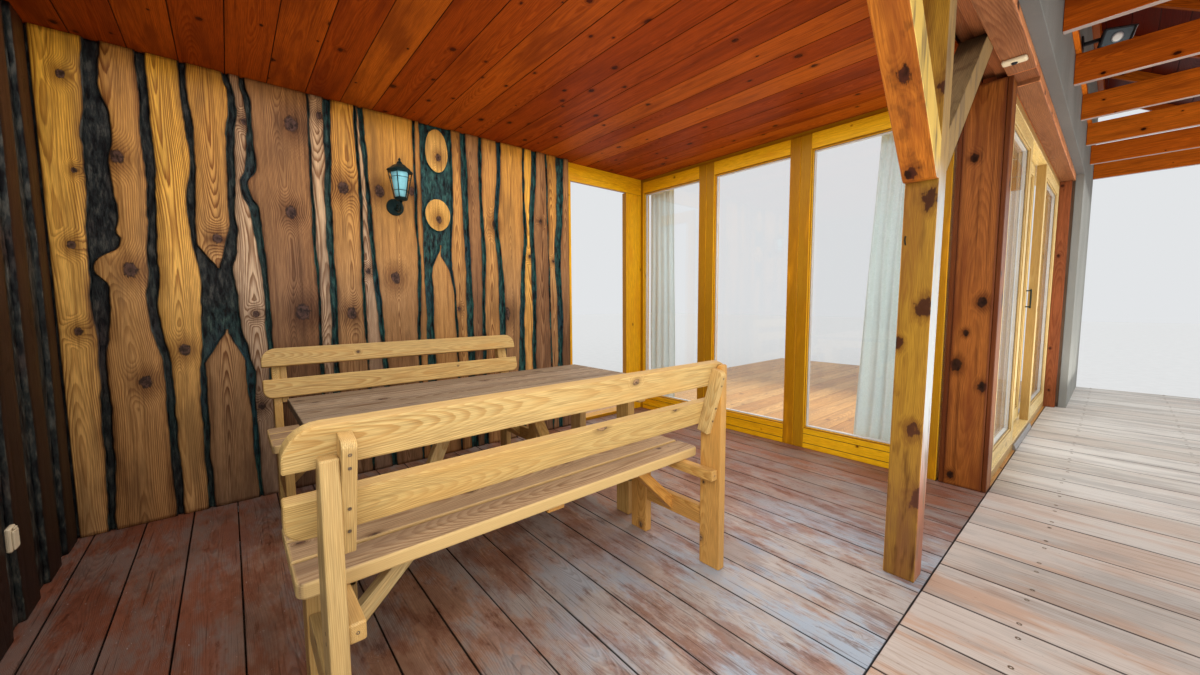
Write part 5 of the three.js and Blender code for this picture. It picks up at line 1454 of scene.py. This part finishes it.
def bench(name, base_matrix, post_tops, tones):
    up = Vector((0, -math.sin(LEAN), math.cos(LEAN)))
    out = Vector((0, math.cos(LEAN), math.sin(LEAN)))
    back = Piece(name + "_back_boards", [BENCH_WOOD, SCREW])
    back.base = base_matrix
    for k, (low, high, round_top, round_foot) in enumerate(BACK_BOARDS):
        tall = (high - low) / math.cos(LEAN)
        origin = Vector((0, back_line(low), low)) + out * BACK_THICK
        slab(back, rounded(0, BENCH_LENGTH, 0, tall, round_foot, round_top), BACK_THICK, origin, UNIT[0], up,
             round_by=5, tone=tones[k])
    for x0 in (BENCH_LEFT + 38.3, BENCH_RIGHT - 30.3):
        tall = (BATTEN_HEAD - BATTEN_FOOT) / math.cos(LEAN)
        section = [(4 - BATTEN_DEEP, 0), (0.6, 0), (0.6, tall), *arc(22 - BATTEN_DEEP, tall - 22, 22, 90, 180)]
        slab(back, section, 30, Vector((x0, back_line(BATTEN_FOOT), BATTEN_FOOT)), out, up, along=1,
             round_by=3, tone=tones[2])
        for rise in (60, 118, 218, 250):
            spot = Vector((x0 + 15, back_line(BATTEN_FOOT), BATTEN_FOOT)) + up * rise - out * 55.2
            screw_head(back, spot, -out, 4, 1)
    back.make("bench_pine", name + "_back")
    seat = Piece(name + "_seat_boards", [SEAT_WOOD, SCREW, BENCH_WOOD])
    seat.base = base_matrix
    for y, front, rear in ((0, 26, 5), (130, 5, 5), (260, 5, 22)):
        low = SEAT_FRONT + y
        outline = rounded(SEAT_START, BENCH_LENGTH, low, low + SEAT_WIDE, front, rear)
        slab(seat, outline, SEAT_HIGH - SEAT_LOW, Vector((0, 0, SEAT_LOW)), UNIT[0], UNIT[1], round_by=6)
        for x in (BENCH_LEFT + 58, BENCH_RIGHT - 20):
            for s in (30, 90):
                screw_head(seat, Vector((x, low + s, SEAT_HIGH)), UNIT[2], 4.5, 1)
    for x0 in (BENCH_LEFT + 38.3, BENCH_RIGHT - 38.3):
        board(seat, (x0, x0 + 36), (12, 540), (394, 440.5), "y", 5, slot=2)
        screw_head(seat, Vector((x0 + 18, 12, 418)), -UNIT[1], 4, 1)
    board(seat, (735, 805), (194, 534), (418, 440.5), "y", 3, slot=2)
    seat.make("bench_pine", name + "_seat")
    for label, x, top, toward, tone in (("left", BENCH_LEFT, post_tops[0], 1, tones[3]),
                                        ("right", BENCH_RIGHT, post_tops[1], -1, tones[4])):
        end = Piece(f"{name}_frame_{label}", [BENCH_WOOD, SCREW])
        end.base = base_matrix
        height = 876 - (POST_WIDE - 25) / math.tan(LEAN) - 0.5
        near_top = back_line(top) - 0.6
        section = [(0, 0), (POST_WIDE, 0), (POST_WIDE, height), (near_top, top), (0, top)]
        slab(end, softened(section, 5), END_THICK, Vector((x, 0, 0)), UNIT[1], UNIT[2], along=1, round_by=4,
             tone=tone)
        board(end, (x, x + END_THICK), (423, 525), (0, 439.6), "z", 4, tone=tone * 0.8)
        board(end, (x + 5, x + 33), (101, 424), (165, 250), "y", 4, tone=tone * 0.9)
        inner = x + END_THICK if toward > 0 else x
        face = x + 33 if toward > 0 else x + 5
        brace = [(face - toward, 175), (face - toward, 243), (inner + toward * 205, 439.5),
                 (inner + toward * 265, 439.5)]
        if toward > 0:
            brace = brace[::-1]
        leaning(end, brace, 262, 300, (toward * 230, 200), 3)
        for z in (205, 225):
            screw_head(end, Vector((x + 19 - toward * 19, 50 + z * 0.1, z)), UNIT[0] * -toward, 4.5, 1)
        for z in (400, 424):
            screw_head(end, Vector((x + 19 - toward * 19, 46, z)), UNIT[0] * -toward, 4.5, 1)
        end.make("bench_pine", f"{name}_end_{label}")


def screw_head(piece, spot, ahead, radius, slot):
    """A countersunk screw in a face: a rim round a dished head."""
    side = ahead.orthogonal().normalized()
    other = ahead.cross(side)
    close_loops(piece, [ring(piece, spot + ahead * high, side, other, radius * share, 12) for share, high in
                        ((1, -1), (1, 0.25), (0.8, 0.4), (0.5, 0.1), (0.25, -0.5))], slot)


def table():
    left, right, outer, inner, top, under = 170, 1690, 1520, 2250, 740, 706
    deck = Piece("table_boards", [TABLE_WOOD])
    for a, b in pairs(spread(outer, inner, 6)):
        board(deck, (left, right), (a + 1.5, b - 1.5), (under, top), "x", 4)
    deck.make("grey_pine", "table_top")
    frame_piece = Piece("table_trestles", [BENCH_WOOD])
    for x in (left + 70, right - 115):
        board(frame_piece, (x, x + 45), (1630, 1725), (0, under - 0.5), "z", 4)
        board(frame_piece, (x, x + 45), (2045, 2140), (0, under - 0.5), "z", 4)
        board(frame_piece, (x - 1, x + 46), (outer + 30, inner - 30), (under - 80, under - 0.5), "y", 4)
        board(frame_piece, (x + 1, x + 44), (outer + 110, inner - 110), (180, 270), "y", 4)
    board(frame_piece, (left + 116, right - 116), (1863, 1907), (185, 265), "x", 4)
    for a, b, c, d in ((530, 590, 790, 730), (1270, 1330, 1130, 1070)):
        outline = [(a, 250), (b, 250), (c, under - 0.5), (d, under - 0.5)]
        leaning(frame_piece, outline, 1867, 1903, (d - a, 456), 3)
    frame_piece.make("bench_pine", "table_frame")


def around(x, y, turned):
    """Where a bench stands, and whether it is turned about."""
    if not turned:
        return Matrix.Translation((x, y, 0))
    return Matrix.Translation((x + BENCH_LENGTH, y, 0)) @ Matrix.Rotation(math.pi, 4, "Z")


base()
back_wall()
left_wall()
doorway()
entry_door()
glazed_wall()
side_set()
post_and_braces()
beam_and_corner()
ceiling()
upper_wall()
walkway_roof()
lantern()
fittings()
curtains()
bench("near_bench", around(62, 1026, False), (820, 880), (0.68, 0.6, 0.75, 0.85, 0.22))
bench("far_bench", around(120, 3050, True), (860, 860), (0.6, 0.55, 0.5, 0.6, 0.5))
table()

decks()


# Floor, light and camera

CAMERA = {"place": (0, 0, 1140), "lens": 13.13, "yaw": 49.698, "pitch": 4.642, "roll": -0.349}


def camera():
    yaw, pitch, roll = (math.radians(CAMERA[k]) for k in ("yaw", "pitch", "roll"))
    ahead = Vector((math.cos(pitch) * math.cos(yaw), math.cos(pitch) * math.sin(yaw), -math.sin(pitch)))
    side = Vector((math.sin(yaw), -math.cos(yaw), 0))
    up = side.cross(ahead)
    right = side * math.cos(roll) + up * math.sin(roll)
    top = up * math.cos(roll) - side * math.sin(roll)
    data = bpy.data.cameras.new("view")
    data.lens = CAMERA["lens"]
    data.clip_start = 0.02
    thing = bpy.data.objects.new("view", data)
    bpy.context.scene.collection.objects.link(thing)
    turn = Matrix((right, top, -ahead)).transposed().to_4x4()
    thing.matrix_world = Matrix.Translation(place(CAMERA["place"])) @ turn
    bpy.context.scene.camera = thing


def light(name, where, toward, size, power, color=(1, 1, 1)):
    data = bpy.data.lights.new(name, "AREA")
    data.shape = "RECTANGLE"
    data.size, data.size_y = size
    data.energy = power
    data.color = color
    put_light(name, data, where, toward)


def put_light(name, data, where, toward):
    thing = bpy.data.objects.new(name, data)
    bpy.context.scene.collection.objects.link(thing)
    thing.location = place(where)
    thing.rotation_mode = "QUATERNION"
    thing.rotation_quaternion = (Vector(toward) - Vector(where)).to_track_quat("-Z", "Y")
    thing.visible_camera = False
    thing.visible_glossy = False


def studio():
    floor = flat_finish("studio_floor", (232, 231, 228), 0.8, vary=0.02)
    mesh = bpy.data.meshes.new("studio_floor")
    reach = 40
    mesh.from_pydata([(-reach, -reach, 0), (reach, -reach, 0), (reach, reach, 0), (-reach, reach, 0)],
                     [], [(0, 1, 2, 3)])
    mesh.materials.append(floor)
    thing = bpy.data.objects.new("studio_floor", mesh)
    bpy.context.scene.collection.objects.link(thing)
    world = bpy.data.worlds.new("studio")
    world.use_nodes = True
    back = world.node_tree.nodes["Background"]
    back.inputs[0].default_value = (0.96, 0.98, 1.0, 1)
    back.inputs[1].default_value = 0.8
    bpy.context.scene.world = world
    bpy.context.scene.view_settings.view_transform = "Standard"
    data = bpy.data.lights.new("open_side", "SUN")
    data.energy = 2.1
    data.angle = math.radians(75)
    data.color = (0.95, 0.98, 1.06)
    put_light("open_side", data, (-2200, -3600, 2300), (900, 0, 1200))
    light("ceiling_wash", (1200, 1900, 1080), (1200, 1900, 2400), (3.4, 2.2), 16, (0.95, 0.98, 1.06))
    light("deck_wash", (1300, 1900, 2370), (1300, 1900, 0), (3.6, 2.3), 52, (0.95, 0.99, 1.06))
    light("post_wash", (1000, 60, 1900), (2100, 520, 1750), (0.6, 1.2), 5)
    light("near_fill", (350, 150, 1500), (600, 950, 0), (1.2, 0.8), 12, (0.96, 0.99, 1.04))
    light("walkway_wash", (4200, -350, 250), (4200, -250, 2400), (7.5, 1.1), 80, (1, 0.99, 0.97))
    light("walkway_fill", (6300, -350, 2380), (6300, -350, 0), (3.8, 1.1), 22)
    light("room_wash", (5400, 2200, 1900), (3400, 1900, 1200), (2.5, 2.0), 80, (0.93, 1, 1.08))


studio()
camera()
